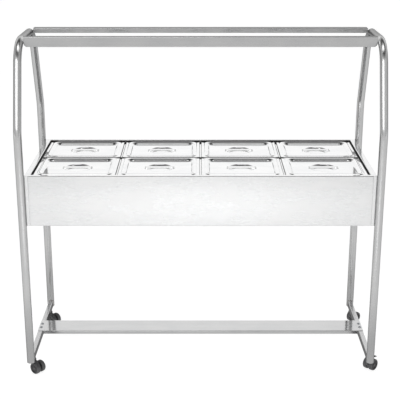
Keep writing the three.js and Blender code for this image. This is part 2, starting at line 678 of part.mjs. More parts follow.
function brakeGeometry() {
  const outline = [[13, 51.6], [30, 52.2], [40, 51.2], [60, 45.8], [62, 48.4], [42, 54], [24, 57], [14, 57]];
  const shape = new THREE.Shape(outline.map(([x, z]) => new THREE.Vector2(x, z)));
  const lever = new THREE.ExtrudeGeometry(shape, { depth: 2 * BRAKE_HALF, bevelEnabled: false });
  lever.rotateX(Math.PI / 2);
  lever.translate(0, BRAKE_HALF, 0);
  return lever;
}

function buildCasters() {
  const stem = stemGeometry();
  const housing = housingGeometry();
  const wheel = wheelGeometry();
  const axle = toGeometry(rodSolid(AXLE_R, [0, -AXLE_HALF, 0], [0, AXLE_HALF, 0]));
  for (const { place, x, y, heading, brake } of CASTERS) {
    const caster = new THREE.Group();
    caster.position.set(x, y, 0);
    caster.rotation.z = THREE.MathUtils.degToRad(heading);
    model.add(caster);
    addPiece(`caster_${place}_stem`, stem, ZINC_STEEL, caster);
    addPiece(`caster_${place}_housing`, housing, BLACK_PLASTIC, caster);
    addPiece(`caster_${place}_axle`, axle, ZINC_STEEL, caster).position.set(CASTER_TRAIL, 0, WHEEL_R);
    for (const [side, letter] of [[-1, 'a'], [1, 'b']]) {
      const mesh = addPiece(`caster_${place}_wheel_${letter}`, wheel, BLACK_PLASTIC, caster);
      mesh.position.set(CASTER_TRAIL, side * (WEB_HALF + WHEEL_GAP), WHEEL_R);
      mesh.rotation.x = (-side * Math.PI) / 2;
    }
    if (brake) addPiece(`caster_${place}_brake`, brakeGeometry(), BLACK_PLASTIC, caster);
  }
}

buildFrame();
buildBody();
buildPans();
buildControls();
buildDrain();
buildCasters();

export default model;
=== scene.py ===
import math

import bmesh
import bpy
from mathutils import Matrix, Vector


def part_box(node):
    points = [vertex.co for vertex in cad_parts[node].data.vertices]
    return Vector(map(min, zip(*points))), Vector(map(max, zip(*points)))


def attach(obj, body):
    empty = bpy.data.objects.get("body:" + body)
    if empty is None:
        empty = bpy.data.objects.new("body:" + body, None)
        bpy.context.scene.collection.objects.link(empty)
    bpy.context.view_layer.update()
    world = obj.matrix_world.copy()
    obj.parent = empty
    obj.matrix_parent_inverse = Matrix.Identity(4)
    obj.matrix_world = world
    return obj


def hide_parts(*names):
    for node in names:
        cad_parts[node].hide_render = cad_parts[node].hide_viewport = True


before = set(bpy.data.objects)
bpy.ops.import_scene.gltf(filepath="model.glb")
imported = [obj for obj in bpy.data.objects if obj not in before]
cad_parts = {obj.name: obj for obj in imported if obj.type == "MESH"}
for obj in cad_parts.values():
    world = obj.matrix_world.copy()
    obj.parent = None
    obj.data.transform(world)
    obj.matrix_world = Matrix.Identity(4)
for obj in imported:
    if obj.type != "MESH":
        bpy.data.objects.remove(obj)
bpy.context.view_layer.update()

MM = 0.001


def mm_box(node):
    """Lowest and highest corner of a CAD node, in millimetres."""
    low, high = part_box(node)
    return low / MM, high / MM


def middle(node):
    """Centre of a CAD node's box, in millimetres."""
    low, high = mm_box(node)
    return (low + high) / 2


# ---------------------------------------------------------------- camera, floor and light
CAMERA_PLACE = (-0.0049, -3.955, 1.964)
CAMERA_PITCH = 18.44  # degrees below the horizon
CAMERA_LENS = 87.27
CAMERA_SHIFT = (0.0016, 0.0235)
SENSOR_WIDTH = 36.0


def make_camera():
    data = bpy.data.cameras.new("camera")
    data.sensor_width = SENSOR_WIDTH
    data.lens = CAMERA_LENS
    data.shift_x, data.shift_y = CAMERA_SHIFT
    camera = bpy.data.objects.new("camera", data)
    camera.location = CAMERA_PLACE
    camera.rotation_euler = (math.radians(90 - CAMERA_PITCH), 0, 0)
    bpy.context.scene.collection.objects.link(camera)
    bpy.context.scene.camera = camera


def link(source, socket):
    source.id_data.links.new(source, socket)


def add_ramp(tree, stops):
    """A colour ramp through (position, grey or colour) stops."""
    ramp = tree.nodes.new("ShaderNodeValToRGB")
    ramp.color_ramp.interpolation = "EASE"
    elements = ramp.color_ramp.elements
    while len(elements) < len(stops):
        elements.new(0.5)
    for element, (position, value) in zip(elements, stops):
        element.position = position
        colour = (value,) * 3 if isinstance(value, (int, float)) else value
        element.color = (*colour, 1)
    return ramp


def add_math(tree, operation, first, second):
    """A math node; each input is a socket or a number."""
    node = tree.nodes.new("ShaderNodeMath")
    node.operation = operation
    for socket, value in zip(node.inputs, (first, second)):
        if isinstance(value, (int, float)):
            socket.default_value = value
        else:
            link(value, socket)
    return node.outputs[0]


# Brightness of the dome: by the sine of the elevation, and by the size of the direction's X.
SKY = [(0.0, 1.0), (0.5, 1.0), (0.7, 0.42), (0.8, 0.08), (0.93, 0.05), (0.97, 0.35), (1.0, 0.4)]
SKY_SIDE = [(0.0, 1.0), (0.45, 0.92), (0.8, 0.62), (1.0, 0.55)]


def make_world():
    """A dome of light: white near the horizon, dark in a band high up, grey overhead and to the sides."""
    world = bpy.data.worlds.new("studio")
    bpy.context.scene.world = world
    world.use_nodes = True
    tree = world.node_tree
    background = tree.nodes["Background"]
    background.inputs["Color"].default_value = (1, 1, 1, 1)
    coordinates = tree.nodes.new("ShaderNodeTexCoord")
    split = tree.nodes.new("ShaderNodeSeparateXYZ")
    link(coordinates.outputs["Generated"], split.inputs[0])
    height = add_ramp(tree, SKY)
    link(split.outputs["Z"], height.inputs[0])
    side = add_ramp(tree, SKY_SIDE)
    link(add_math(tree, "ABSOLUTE", split.outputs["X"], 0), side.inputs[0])
    level = add_math(tree, "MULTIPLY", height.outputs[0], side.outputs[0])
    link(level, background.inputs["Strength"])


FLOOR_HALF = 45.0
FLOOR_GREY = 0.4
FLOOR_GLOW = 0.82
FLOOR_ROUGH = 0.9


def make_floor():
    """A plain pale floor, the same all over, that glows a little so that shadows on it stay faint."""
    mesh = bpy.data.meshes.new("floor")
    corners = [(-1, -1), (1, -1), (1, 1), (-1, 1)]
    mesh.from_pydata([(x * FLOOR_HALF, y * FLOOR_HALF, 0) for x, y in corners], [], [(0, 1, 2, 3)])
    floor = bpy.data.objects.new("floor", mesh)
    bpy.context.scene.collection.objects.link(floor)
    material = bpy.data.materials.new("floor_white")
    material.use_nodes = True
    shader = material.node_tree.nodes["Principled BSDF"]
    shader.inputs["Base Color"].default_value = (*(FLOOR_GREY,) * 3, 1)
    shader.inputs["Roughness"].default_value = FLOOR_ROUGH
    shader.inputs["Emission Color"].default_value = (1, 1, 1, 1)
    shader.inputs["Emission Strength"].default_value = FLOOR_GLOW
    mesh.materials.append(material)


# name, place, point that it is aimed at, width and height, watts, spread in degrees
SOFTBOXES = [
    ("front_high", (-1.7, -4.3, 3.5), (0, 0, 0.9), (4.0, 1.8), 58, 180),
    ("overhead", (0, -0.5, 4.2), (0, -0.5, 0), (3.2, 1.2), 12, 180),
    ("side_left", (-3.4, -1.6, 1.7), (0, 0, 0.9), (0.7, 2.2), 3, 180),
    ("side_right", (3.4, -1.6, 1.7), (0, 0, 0.9), (0.7, 2.2), 3, 180),
    ("front_down", (0, -2.75, 3.2), (0, -2.75, 0), (1.0, 0.8), 18, 50),
]


def softbox(name, place, aim, size, power, spread):
    data = bpy.data.lights.new(name, "AREA")
    data.shape = "RECTANGLE"
    data.size, data.size_y = size
    data.energy = power
    data.spread = math.radians(spread)
    light = bpy.data.objects.new(name, data)
    light.location = place
    light.rotation_euler = (Vector(aim) - Vector(place)).to_track_quat("-Z", "Y").to_euler()
    bpy.context.scene.collection.objects.link(light)


def make_stage():
    make_camera()
    make_world()
    make_floor()
    for row in SOFTBOXES:
        softbox(*row)
    bpy.context.scene.view_settings.view_transform = "Standard"


# ---------------------------------------------------------------- materials
def shader_tree(name):
    material = bpy.data.materials.new(name)
    material.use_nodes = True
    tree = material.node_tree
    return material, tree, tree.nodes["Principled BSDF"]


def add_mix(tree, factor, first, colour):
    """Mixes from one colour socket to a fixed colour, by the factor."""
    mix = tree.nodes.new("ShaderNodeMix")
    mix.data_type = "RGBA"
    link(factor, mix.inputs["Factor"])
    link(first, mix.inputs["A"])
    mix.inputs["B"].default_value = (*colour, 1)
    return mix.outputs["Result"]


def add_noise(tree, scale, stretch=(1, 1, 1), detail=3.0):
    """Noise in the piece's own coordinates, with features 1 / scale metres across."""
    coordinates = tree.nodes.new("ShaderNodeTexCoord")
    mapping = tree.nodes.new("ShaderNodeMapping")
    mapping.inputs["Scale"].default_value = stretch
    noise = tree.nodes.new("ShaderNodeTexNoise")
    noise.inputs["Scale"].default_value = scale
    noise.inputs["Detail"].default_value = detail
    link(coordinates.outputs["Object"], mapping.inputs["Vector"])
    link(mapping.outputs[0], noise.inputs["Vector"])
    return noise.outputs["Fac"]


def add_bump(tree, height, distance, below=None):
    bump = tree.nodes.new("ShaderNodeBump")
    bump.inputs["Distance"].default_value = distance
    bump.inputs["Strength"].default_value = 1.0
    link(height, bump.inputs["Height"])
    if below is not None:
        link(below, bump.inputs["Normal"])
    return bump.outputs[0]


def link_range(tree, source, low, high, socket):
    """Spreads the middle of a 0 to 1 signal over low to high."""
    spread = tree.nodes.new("ShaderNodeMapRange")
    spread.inputs["From Min"].default_value = 0.3
    spread.inputs["From Max"].default_value = 0.7
    spread.inputs["To Min"].default_value = low
    spread.inputs["To Max"].default_value = high
    link(source, spread.inputs["Value"])
    link(spread.outputs[0], socket)


def link_tint(tree, source, dark, light, socket):
    ramp = add_ramp(tree, [(0.3, dark), (0.7, light)])
    link(source, ramp.inputs[0])
    link(ramp.outputs[0], socket)


GRAIN_SCALE = 900.0  # polishing lines, about a millimetre apart
ALONG = 0.02  # how far the noise is stretched along the polishing direction
SMEAR_SCALE = 9.0
SMEAR_NARROW = 2.5
GRAIN_SHARE = 0.4  # of the roughness; the smears give the rest
TOOTH_SCALE_PLATE = 1400.0
TOOTH_SCALE_PLASTIC = 2200.0
TOOTH_DEPTH_PLATE = 0.02
SCUFF_PALER = 3
DARKER = (0.965, 0.97, 0.975)  # a steel's darkest and lightest smears, against its grey
LIGHTER = 1.02
PAINTED_HIGHLIGHT_FACING = (0.25, 0.8)  # Z of the normal, from where a tube's painted highlight starts to where it's brightest
PAINTED_SHADE_HEIGHTS = (0.12, 0.42)  # metres above the floor, from the darkest painted shade to none


def steel(name, grey, rough, grain_along, grain_depth, wave_depth, wave_scale=6.0, edge=1.0):
    """Stainless steel: polishing lines along one axis, soft waves in the sheet, faint wiped smears.

    A low edge makes it darker where it's seen at a grazing angle: a painted shade on the edges of tubes and
    bars.
    """
    material, tree, shader = shader_tree(name)
    shader.inputs["Metallic"].default_value = 1.0
    shader.inputs["Specular Tint"].default_value = (edge, edge, edge, 1)
    stretch = tuple(ALONG if axis == grain_along else 1.0 for axis in "XYZ")
    grain = add_noise(tree, GRAIN_SCALE, stretch, 2.0)
    narrow = tuple(1.0 if axis == grain_along else SMEAR_NARROW for axis in "XYZ")
    smear = add_noise(tree, SMEAR_SCALE, narrow, 4.0)
    fine = add_math(tree, "MULTIPLY", grain, GRAIN_SHARE)
    broad = add_math(tree, "MULTIPLY", smear, 1 - GRAIN_SHARE)
    mixed = add_math(tree, "ADD", fine, broad)
    link_range(tree, mixed, rough * 0.8, rough * 1.25, shader.inputs["Roughness"])
    dark = tuple(grey * share for share in DARKER)
    light = (min(1, grey * LIGHTER),) * 3
    link_tint(tree, smear, dark, light, shader.inputs["Base Color"])
    wave = add_bump(tree, add_noise(tree, wave_scale, detail=1.0), wave_depth * MM)
    link(add_bump(tree, grain, grain_depth * MM, wave), shader.inputs["Normal"])
    return material


def link_painted_light(material, top, foot):
    """Paints light on a steel: takes it to the grey of top where it looks up, a painted highlight, and
    darkens it by the factor foot near the floor, a painted shade.
    """
    tree = material.node_tree
    shader = tree.nodes["Principled BSDF"]
    tint = shader.inputs["Base Color"].links[0].from_socket
    geometry = tree.nodes.new("ShaderNodeNewGeometry")
    facing = tree.nodes.new("ShaderNodeSeparateXYZ")
    link(geometry.outputs["Normal"], facing.inputs[0])
    highlight_mask = add_ramp(tree, list(zip(PAINTED_HIGHLIGHT_FACING, (0.0, 1.0))))
    link(facing.outputs["Z"], highlight_mask.inputs[0])
    coordinates = tree.nodes.new("ShaderNodeTexCoord")
    place = tree.nodes.new("ShaderNodeSeparateXYZ")
    link(coordinates.outputs["Object"], place.inputs[0])
    height = add_ramp(tree, list(zip(PAINTED_SHADE_HEIGHTS, (foot, 1.0))))
    link(place.outputs["Z"], height.inputs[0])
    lower = tree.nodes.new("ShaderNodeVectorMath")
    lower.operation = "MULTIPLY"
    link(tint, lower.inputs[0])
    link(height.outputs[0], lower.inputs[1])
    tint = add_mix(tree, highlight_mask.outputs[0], lower.outputs[0], (top, top, top))
    link(tint, shader.inputs["Base Color"])


def plated(name, light, dark, rough, spot_scale):
    """Dull plate, cast brass or sheath metal: spotted tone and a fine tooth."""
    material, tree, shader = shader_tree(name)
    shader.inputs["Metallic"].default_value = 1.0
    spots = add_noise(tree, spot_scale, detail=6.0)
    link_tint(tree, spots, dark, light, shader.inputs["Base Color"])
    link_range(tree, spots, rough * 1.2, rough * 0.8, shader.inputs["Roughness"])
    tooth = add_noise(tree, TOOTH_SCALE_PLATE, detail=2.0)
    link(add_bump(tree, tooth, TOOTH_DEPTH_PLATE * MM), shader.inputs["Normal"])
    return material


def plastic(name, light, dark, rough, tooth_depth=0.04):
    """Moulded plastic: a fine tooth, uneven gloss and pale scuffs on what sticks out."""
    material, tree, shader = shader_tree(name)
    patches = add_noise(tree, 60.0, detail=5.0)
    tint = add_ramp(tree, [(0.35, dark), (0.7, light)])
    link(patches, tint.inputs[0])
    geometry = tree.nodes.new("ShaderNodeNewGeometry")
    worn = add_ramp(tree, [(0.52, 0.0), (0.6, 0.5)])
    link(geometry.outputs["Pointiness"], worn.inputs[0])
    scuff = tuple(min(1, c * SCUFF_PALER) for c in light)
    tint = add_mix(tree, add_math(tree, "MULTIPLY", worn.outputs[0], patches), tint.outputs[0], scuff)
    link(tint, shader.inputs["Base Color"])
    link_range(tree, patches, rough * 0.8, rough * 1.2, shader.inputs["Roughness"])
    tooth = add_noise(tree, TOOTH_SCALE_PLASTIC, detail=2.0)
    link(add_bump(tree, tooth, tooth_depth * MM), shader.inputs["Normal"])
    return material


def lens(name):
    """Red moulded lens, uneven inside, under a clear gloss."""
    material, tree, shader = shader_tree(name)
    ripple = add_noise(tree, 260.0, detail=2.0)
    link_tint(tree, ripple, (0.42, 0.012, 0.008), (0.68, 0.035, 0.02), shader.inputs["Base Color"])
    link_range(tree, ripple, 0.1, 0.2, shader.inputs["Roughness"])
    shader.inputs["Coat Weight"].default_value = 0.6
    shader.inputs["Subsurface Weight"].default_value = 0.2
    link(add_bump(tree, ripple, 0.05 * MM), shader.inputs["Normal"])
    return material


make_stage()

# name, grey, roughness, grain direction, grain and wave depth in millimetres, wave scale
MIRROR = steel("mirror_steel_sheet", 0.89, 0.085, "X", 0.0006, 0.25)
LID = steel("mirror_steel_pressed", 0.94, 0.075, "X", 0.0005, 0.12, 14.0)
SHELF = steel("mirror_steel_shelf", 0.64, 0.1, "X", 0.0008, 0.2)
# a darker, rougher copy of the shelf's steel, a painted shade on its folded lips
SHELF_LIP_PAINTED_SHADE = steel("mirror_steel_shelf_lip_painted_shade", 0.42, 0.2, "X", 0.0008, 0.2)
SATIN = steel("satin_steel_sheet", 0.66, 0.28, "X", 0.003, 0.1, 3.0)
STRAP = steel("mirror_steel_strap", 0.86, 0.16, "X", 0.002, 0.05, 14.0)
# an edge below 1 paints shade on the edges of these bars and tubes where they are seen at a grazing angle
BAR = steel("satin_steel_bar", 0.43, 0.2, "X", 0.003, 0.04, 3.0, edge=0.5)
REAR_BAR = steel("satin_steel_rear_bar", 0.46, 0.28, "X", 0.003, 0.04, 3.0, edge=0.5)
SATIN_END = steel("satin_steel_end", 0.68, 0.28, "Y", 0.003, 0.1, 3.0)
TUBE = steel("tube_steel_polished_painted_light", 0.48, 0.2, "Z", 0.003, 0.05, edge=0.3)
# the tubes get a painted highlight where they look up and a painted shade near the floor
link_painted_light(TUBE, 0.95, 0.72)
FOOT = steel("tube_steel_foot", 0.66, 0.26, "Y", 0.003, 0.05)
# a darker copy of the foot bars' steel, a painted shade on their sides
FOOT_PAINTED_SHADE = steel("tube_steel_foot_painted_shade", 0.3, 0.3, "Y", 0.003, 0.05, edge=0.3)
ZINC = plated("zinc_steel_plate", (0.58, 0.6, 0.62), (0.42, 0.43, 0.45), 0.42, 120.0)
WELD = plated("tube_steel_weld", (0.52, 0.5, 0.48), (0.34, 0.31, 0.29), 0.4, 400.0)
SHEATH = plated("zinc_steel_sheath", (0.34, 0.31, 0.29), (0.2, 0.17, 0.15), 0.5, 60.0)
BRASS = plated("brass_machined", (0.74, 0.56, 0.3), (0.55, 0.4, 0.2), 0.34, 90.0)
BLACK = plastic("black_plastic_moulded", (0.05, 0.05, 0.052), (0.03, 0.03, 0.031), 0.48)
TREAD = plastic("black_plastic_tread", (0.085, 0.085, 0.088), (0.045, 0.045, 0.047), 0.62, 0.08)
# black for the painted shade in the gaps round the lids and the painted shadow line under the deck's front
# edge
SHADE_BLACK = plastic("black_painted_shade", (0.02, 0.02, 0.02), (0.01, 0.01, 0.01), 0.75, 0.02)
MARK = plastic("white_marking", (0.75, 0.75, 0.74), (0.66, 0.66, 0.65), 0.5, 0.01)
LENS = lens("red_lens_moulded")


# ---------------------------------------------------------------- mesh helpers, in millimetres
def skin(rings, loop=True, torus=False, caps=False):
    """Quads between rings of the same number of points."""
    count = len(rings[0])
    verts = [point for ring in rings for point in ring]
    faces = []
    for r in range(len(rings) if torus else len(rings) - 1):
        low = r * count
        high = (r + 1) % len(rings) * count
        for i in range(count if loop else count - 1):
            j = (i + 1) % count
            faces.append((low + i, low + j, high + j, high + i))
    if caps:
        faces.append(tuple(reversed(range(count))))
        faces.append(tuple(range(len(verts) - count, len(verts))))
    return verts, faces


def merged(*parts):
    """One shape of several closed shells; each is (vertices, faces)."""
    verts = []
    faces = []
    for part_verts, part_faces in parts:
        start = len(verts)
        verts.extend(part_verts)
        faces.extend(tuple(i + start for i in face) for face in part_faces)
    return verts, faces


def moved(shape, matrix):
    verts, faces = shape
    return [matrix @ Vector(v) for v in verts], faces


def shifted(shape, x, y, z):
    return moved(shape, Matrix.Translation((x, y, z)))


SHARP = math.radians(32)  # edges that turn more than this stay sharp
UPRIGHT = 0.5  # faces whose normal has less Z than this count as sides


def piece(name, shape, material, replaces=(), body="root", bevel=0.0, matrix=None):
    """Turns a shape in millimetres into a piece that rides on a body."""
    verts, faces = moved(shape, matrix) if matrix is not None else shape
    mesh = bpy.data.meshes.new(name)
    mesh.from_pydata([Vector(v) * MM for v in verts], [], faces)
    edit = bmesh.new()
    edit.from_mesh(mesh)
    bmesh.ops.recalc_face_normals(edit, faces=edit.faces)
    edit.to_mesh(mesh)
    edit.free()
    mesh.shade_smooth()
    mesh.set_sharp_from_angle(angle=SHARP)
    mesh.materials.append(material)
    made = bpy.data.objects.new(name, mesh)
    bpy.context.scene.collection.objects.link(made)
    if bevel:
        rounding = made.modifiers.new("edges", "BEVEL")
        rounding.width = bevel * MM
        rounding.segments = 2
        rounding.limit_method = "ANGLE"
        rounding.angle_limit = SHARP
        rounding.harden_normals = True
    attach(made, body)
    if replaces:
        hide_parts(*replaces)
    return made


def is_side(normal):
    return abs(normal.z) < UPRIGHT


def is_top(normal):
    return normal.z > UPRIGHT


def paint_shade_on_faces(made, material, wanted):
    """Gives the faces whose normal is wanted a second material; here that paints shade on faces by the way
    they turn.
    """
    made.data.materials.append(material)
    for face in made.data.polygons:
        if wanted(face.normal):
            face.material_index = 1


def rounded(points, radius, step=10):
    """The 2-D polyline with an arc at each inner corner; radius is one number or one for each."""
    points = [Vector(p) for p in points]
    radii = radius if isinstance(radius, (list, tuple)) else [radius] * (len(points) - 2)
    path = [points[0]]
    for before, corner, after, r in zip(points, points[1:], points[2:], radii):
        way_in = (corner - before).normalized()
        way_out = (after - corner).normalized()
        turn = math.atan2(way_in.x * way_out.y - way_in.y * way_out.x, way_in.dot(way_out))
        start = corner - way_in * r * math.tan(abs(turn) / 2)
        centre = start + Vector((-way_in.y, way_in.x)) * math.copysign(r, turn)
        steps = max(2, round(abs(math.degrees(turn)) / step))
        for k in range(steps + 1):
            arm = start - centre
            arm.rotate(Matrix.Rotation(turn * k / steps, 2))
            path.append(centre + arm)
    path.append(points[-1])
    return path


def across(path):
    """The unit normal, to the left, at each point of a 2-D path."""
    normals = []
    for i in range(len(path)):
        along = (path[min(i + 1, len(path) - 1)] - path[max(i - 1, 0)]).normalized()
        normals.append(Vector((-along.y, along.x)))
    return normals


def folded(path, thickness, span, to_space):
    """Sheet along a 2-D path, from span(point)[0] to span(point)[1] across it."""
    pairs = [(p + n * thickness / 2, p - n * thickness / 2) for p, n in zip(path, across(path))]
    count = len(path)
    verts = []
    for end in (0, 1):
        for point, pair in zip(path, pairs):
            verts.extend(to_space(side.x, side.y, span(point)[end]) for side in pair)

    def at(end, i, side):
        return (end * count + i) * 2 + side

    faces = []
    for i in range(count - 1):
        for side in (0, 1):
            faces.append((at(0, i, side), at(0, i + 1, side), at(1, i + 1, side), at(1, i, side)))
        for end in (0, 1):
            faces.append((at(end, i, 0), at(end, i, 1), at(end, i + 1, 1), at(end, i + 1, 0)))
    for i in (0, count - 1):
        faces.append((at(0, i, 0), at(1, i, 0), at(1, i, 1), at(0, i, 1)))
    return verts, faces


def along_x(a, b, t):
    return Vector((t, a, b))


def along_y(a, b, t):
    return Vector((a, t, b))


def along_z(a, b, t):
    return Vector((a, b, t))


def pipe(path, radius, to_space, sides=40, bore=0.0):
    """A round tube along a 2-D path; to_space puts (a, b, sideways) in space."""
    def rings(r):
        made = []
        for p, n in zip(path, across(path)):
            ring = []
            for i in range(sides):
                angle = 2 * math.pi * i / sides
                q = p + n * r * math.cos(angle)
                ring.append(to_space(q.x, q.y, r * math.sin(angle)))
            made.append(ring)
        return made
    if bore:
        return skin(rings(radius) + rings(bore)[::-1], torus=True)
    return skin(rings(radius), caps=True)


def circle(radius, z, sides, turn=0.0):
    angles = (2 * math.pi * (i + turn) / sides for i in range(sides))
    return [Vector((radius * math.cos(a), radius * math.sin(a), z)) for a in angles]


HEX_FLAT = math.cos(math.pi / 6)  # a hexagon's flat, as a share of its corner radius


def hexagon(radius, z, sides=48):
    """A regular hexagon drawn with as many points as a circle of the same sides."""
    points = []
    for i in range(sides):
        angle = 2 * math.pi * i / sides
        reach = radius * HEX_FLAT / math.cos((angle % (math.pi / 3)) - math.pi / 6)
        points.append(Vector((reach * math.cos(angle), reach * math.sin(angle), z)))
    return points


HEX = True


def stacked(profile, base=0.0, sides=48):
    """Rings from (radius, height above base) pairs; a row that ends in HEX is a hexagon."""
    return [(hexagon if shape else circle)(r, base + z, sides) for r, z, *shape in profile]


def turned(profile, sides=32):
    """A body turned about Z from such a profile, flat at both ends."""
    return skin(stacked(profile, 0.0, sides), caps=True)


CORNER_STEPS = 12
EDGE_POINTS = 3
RING_COUNT = 4 * (CORNER_STEPS + 1 + EDGE_POINTS)


def rounded_ring(half_x, half_y, radius, z):
    """A rectangle with round corners, as RING_COUNT points."""
    signs = [(1, 1), (-1, 1), (-1, -1), (1, -1)]
    corners = []
    for quarter, (sx, sy) in enumerate(signs):
        centre = Vector((sx * (half_x - radius), sy * (half_y - radius), z))
        for j in range(CORNER_STEPS + 1):
            angle = (quarter + j / CORNER_STEPS) * math.pi / 2
            corners.append(centre + Vector((radius * math.cos(angle), radius * math.sin(angle), 0)))
    ring = []
    for quarter in range(4):
        own = corners[quarter * (CORNER_STEPS + 1):(quarter + 1) * (CORNER_STEPS + 1)]
        ahead = corners[(quarter + 1) * (CORNER_STEPS + 1) % len(corners)]
        ring.extend(own)
        for k in range(1, EDGE_POINTS + 1):
            ring.append(own[-1].lerp(ahead, k / (EDGE_POINTS + 1)))
    return ring


def round_in_ring(radius, z):
    """A circle whose points pair with those of rounded_ring."""
    return circle(radius, z, RING_COUNT, (EDGE_POINTS + 1) / 2)


def smooth(t):
    """Rises from 0 to 1 with a level start and end."""
    t = min(1, max(0, t))
    return t * t * (3 - 2 * t)


def screw(radius, height):
    """A button head with a hexagon socket, standing on z = 0."""
    dome = [(radius * math.cos(t), height * (0.3 + 0.7 * math.sin(t))) for t in (0.0, 0.45, 0.8)]
    socket_r = radius * 0.45 / HEX_FLAT
    socket = [(socket_r, height, HEX), (socket_r, height * 0.35, HEX)]
    return turned([(radius, 0), *dome, (radius * 0.6, height), *socket], 24)


def weld(points, radius, inward):
    """A rippled bead along a closed line of points; inward is the direction towards the bar."""
    rings = []
    count = len(points)
    angles = [2 * math.pi * k / 10 for k in range(10)]
    for i, point in enumerate(points):
        along = (points[(i + 1) % count] - points[i - 1]).normalized()
        side = along.cross(inward).normalized()
        up = side.cross(along)
        r = radius * (1 + 0.18 * math.sin(i * 2.1))
        rings.append([point + side * r * math.cos(a) + up * r * math.sin(a) for a in angles])
    return skin(rings, torus=True)


# ---------------------------------------------------------------- frame
TUBE_R = 16.0
TUBE_BORE_R = 14.5
KNEE_Z = 1048.0
LEAN = math.radians(18.9)
KNEE_BEND_R = 150.0
CROWN_BEND_R = 115.0
SHEET = 1.5
FOLD_R = 2.2  # middle of the sheet at a fold


def make_arch(word):
    """One tube bent at two knees and two crown corners."""
    low, high = mm_box(f"arch_{word}")
    x = middle(f"arch_{word}").x
    leg_y = high.y - TUBE_R
    crown_z = high.z - TUBE_R
    inset = (crown_z - KNEE_Z) * math.tan(LEAN)
    half = [(leg_y, low.z), (leg_y, KNEE_Z), (leg_y - inset, crown_z)]
    corners = [(-y, z) for y, z in half] + half[::-1]
    path = rounded(corners, [KNEE_BEND_R, CROWN_BEND_R, CROWN_BEND_R, KNEE_BEND_R], 3)
    shape = pipe(path, TUBE_R, lambda y, z, aside: Vector((x + aside, y, z)), 48, TUBE_BORE_R)
    piece(f"arch_{word}_tube", shape, TUBE, [f"arch_{word}"])


def cope(x, leg_x, leg_y, radius):
    """Y at which a line at this x meets a leg of this radius."""
    return leg_y - math.sqrt(max(0, radius ** 2 - (x - leg_x) ** 2))


FOOT_GAP = 0.2  # between the bar's coped end and the leg
FOOT_CORNER_R = 3.0
WELD_R = 1.7
WELD_GAP = 0.8


def make_foot_bar(word):
    """Rectangular tube, its ends coped round the two legs and welded to them."""
    low, high = mm_box(f"foot_bar_{word}")
    _, arch_high = mm_box(f"arch_{word}")
    leg_x = middle(f"arch_{word}").x
    leg_y = arch_high.y - TUBE_R
    centre = middle(f"foot_bar_{word}")
    half_x = (high.x - low.x) / 2
    half_z = (high.z - low.z) / 2

    def section(inset, end, gap):
        ring = rounded_ring(half_x - inset, half_z - inset, FOOT_CORNER_R - inset, 0)
        made = []
        for p in ring:
            x = centre.x + p.x
            made.append(Vector((x, end * cope(x, leg_x, leg_y, TUBE_R + gap), centre.z + p.y)))
        return made

    outer = [section(0, end, FOOT_GAP) for end in (-1, 1)]
    inner = [section(SHEET, end, FOOT_GAP) for end in (1, -1)]
    shape = skin(outer + inner, torus=True)
    bar = piece(f"foot_bar_{word}_tube", shape, FOOT, [f"foot_bar_{word}"])
    # the bar's sides get a darker copy of its steel: painted shade
    paint_shade_on_faces(bar, FOOT_PAINTED_SHADE, is_side)
    beads = []
    for end in (-1, 1):
        line = section(0, end, WELD_GAP)
        pairs = [(a, b) for a, b in zip(line, line[1:] + line[:1]) if (b - a).length > 0.2]
        dense = [a.lerp(b, t) for a, b in pairs for t in (0, 0.5)]
        beads.append(weld(dense, WELD_R, Vector((0, -end, 0))))
    piece(f"foot_bar_{word}_weld", merged(*beads), WELD)


STRETCHER_LIP = 15.0
LIP_END_GAP = 4.0
STRETCHER_SCREW_Y = 18.0
STRETCHER_SCREW_IN = 10.0  # from the foot bar's inner side to the screw
STRETCHER_SCREW = (5, 2.8)  # head radius and height
WASHER = [(7, 0), (7, 0.9), (6.6, 1.1), (3, 1.1)]


def make_stretcher():
    """Sheet with a folded lip along both long sides, screwed down on the foot bars."""
    _, high = mm_box("lower_stretcher")
    foot_low, _ = mm_box("foot_bar_right")
    lip_end = foot_low.x - LIP_END_GAP
    middle = high.z - SHEET / 2
    edge = high.y - SHEET / 2
    bottom = high.z - STRETCHER_LIP
    path = rounded([(-edge, bottom), (-edge, middle), (edge, middle), (edge, bottom)], FOLD_R)

    def span(p):
        reach = high.x if p.y > middle - 0.01 else lip_end
        return -reach, reach

    tray = piece("lower_stretcher_tray", folded(path, SHEET, span, along_x), SHELF,
                 ["lower_stretcher"])
    # the folded lips get a darker copy of the shelf's steel: painted shade
    paint_shade_on_faces(tray, SHELF_LIP_PAINTED_SHADE, is_side)
    screws = []
    for side in (-1, 1):
        x = side * (foot_low.x + STRETCHER_SCREW_IN)
        for y in (-STRETCHER_SCREW_Y, STRETCHER_SCREW_Y):
            screws.append(shifted(turned(WASHER, 28), x, y, high.z))
            screws.append(shifted(screw(*STRETCHER_SCREW), x, y, high.z + WASHER[-1][1]))
    piece("lower_stretcher_screws", merged(*screws), ZINC)


BAR_CORNER_R = 15.0


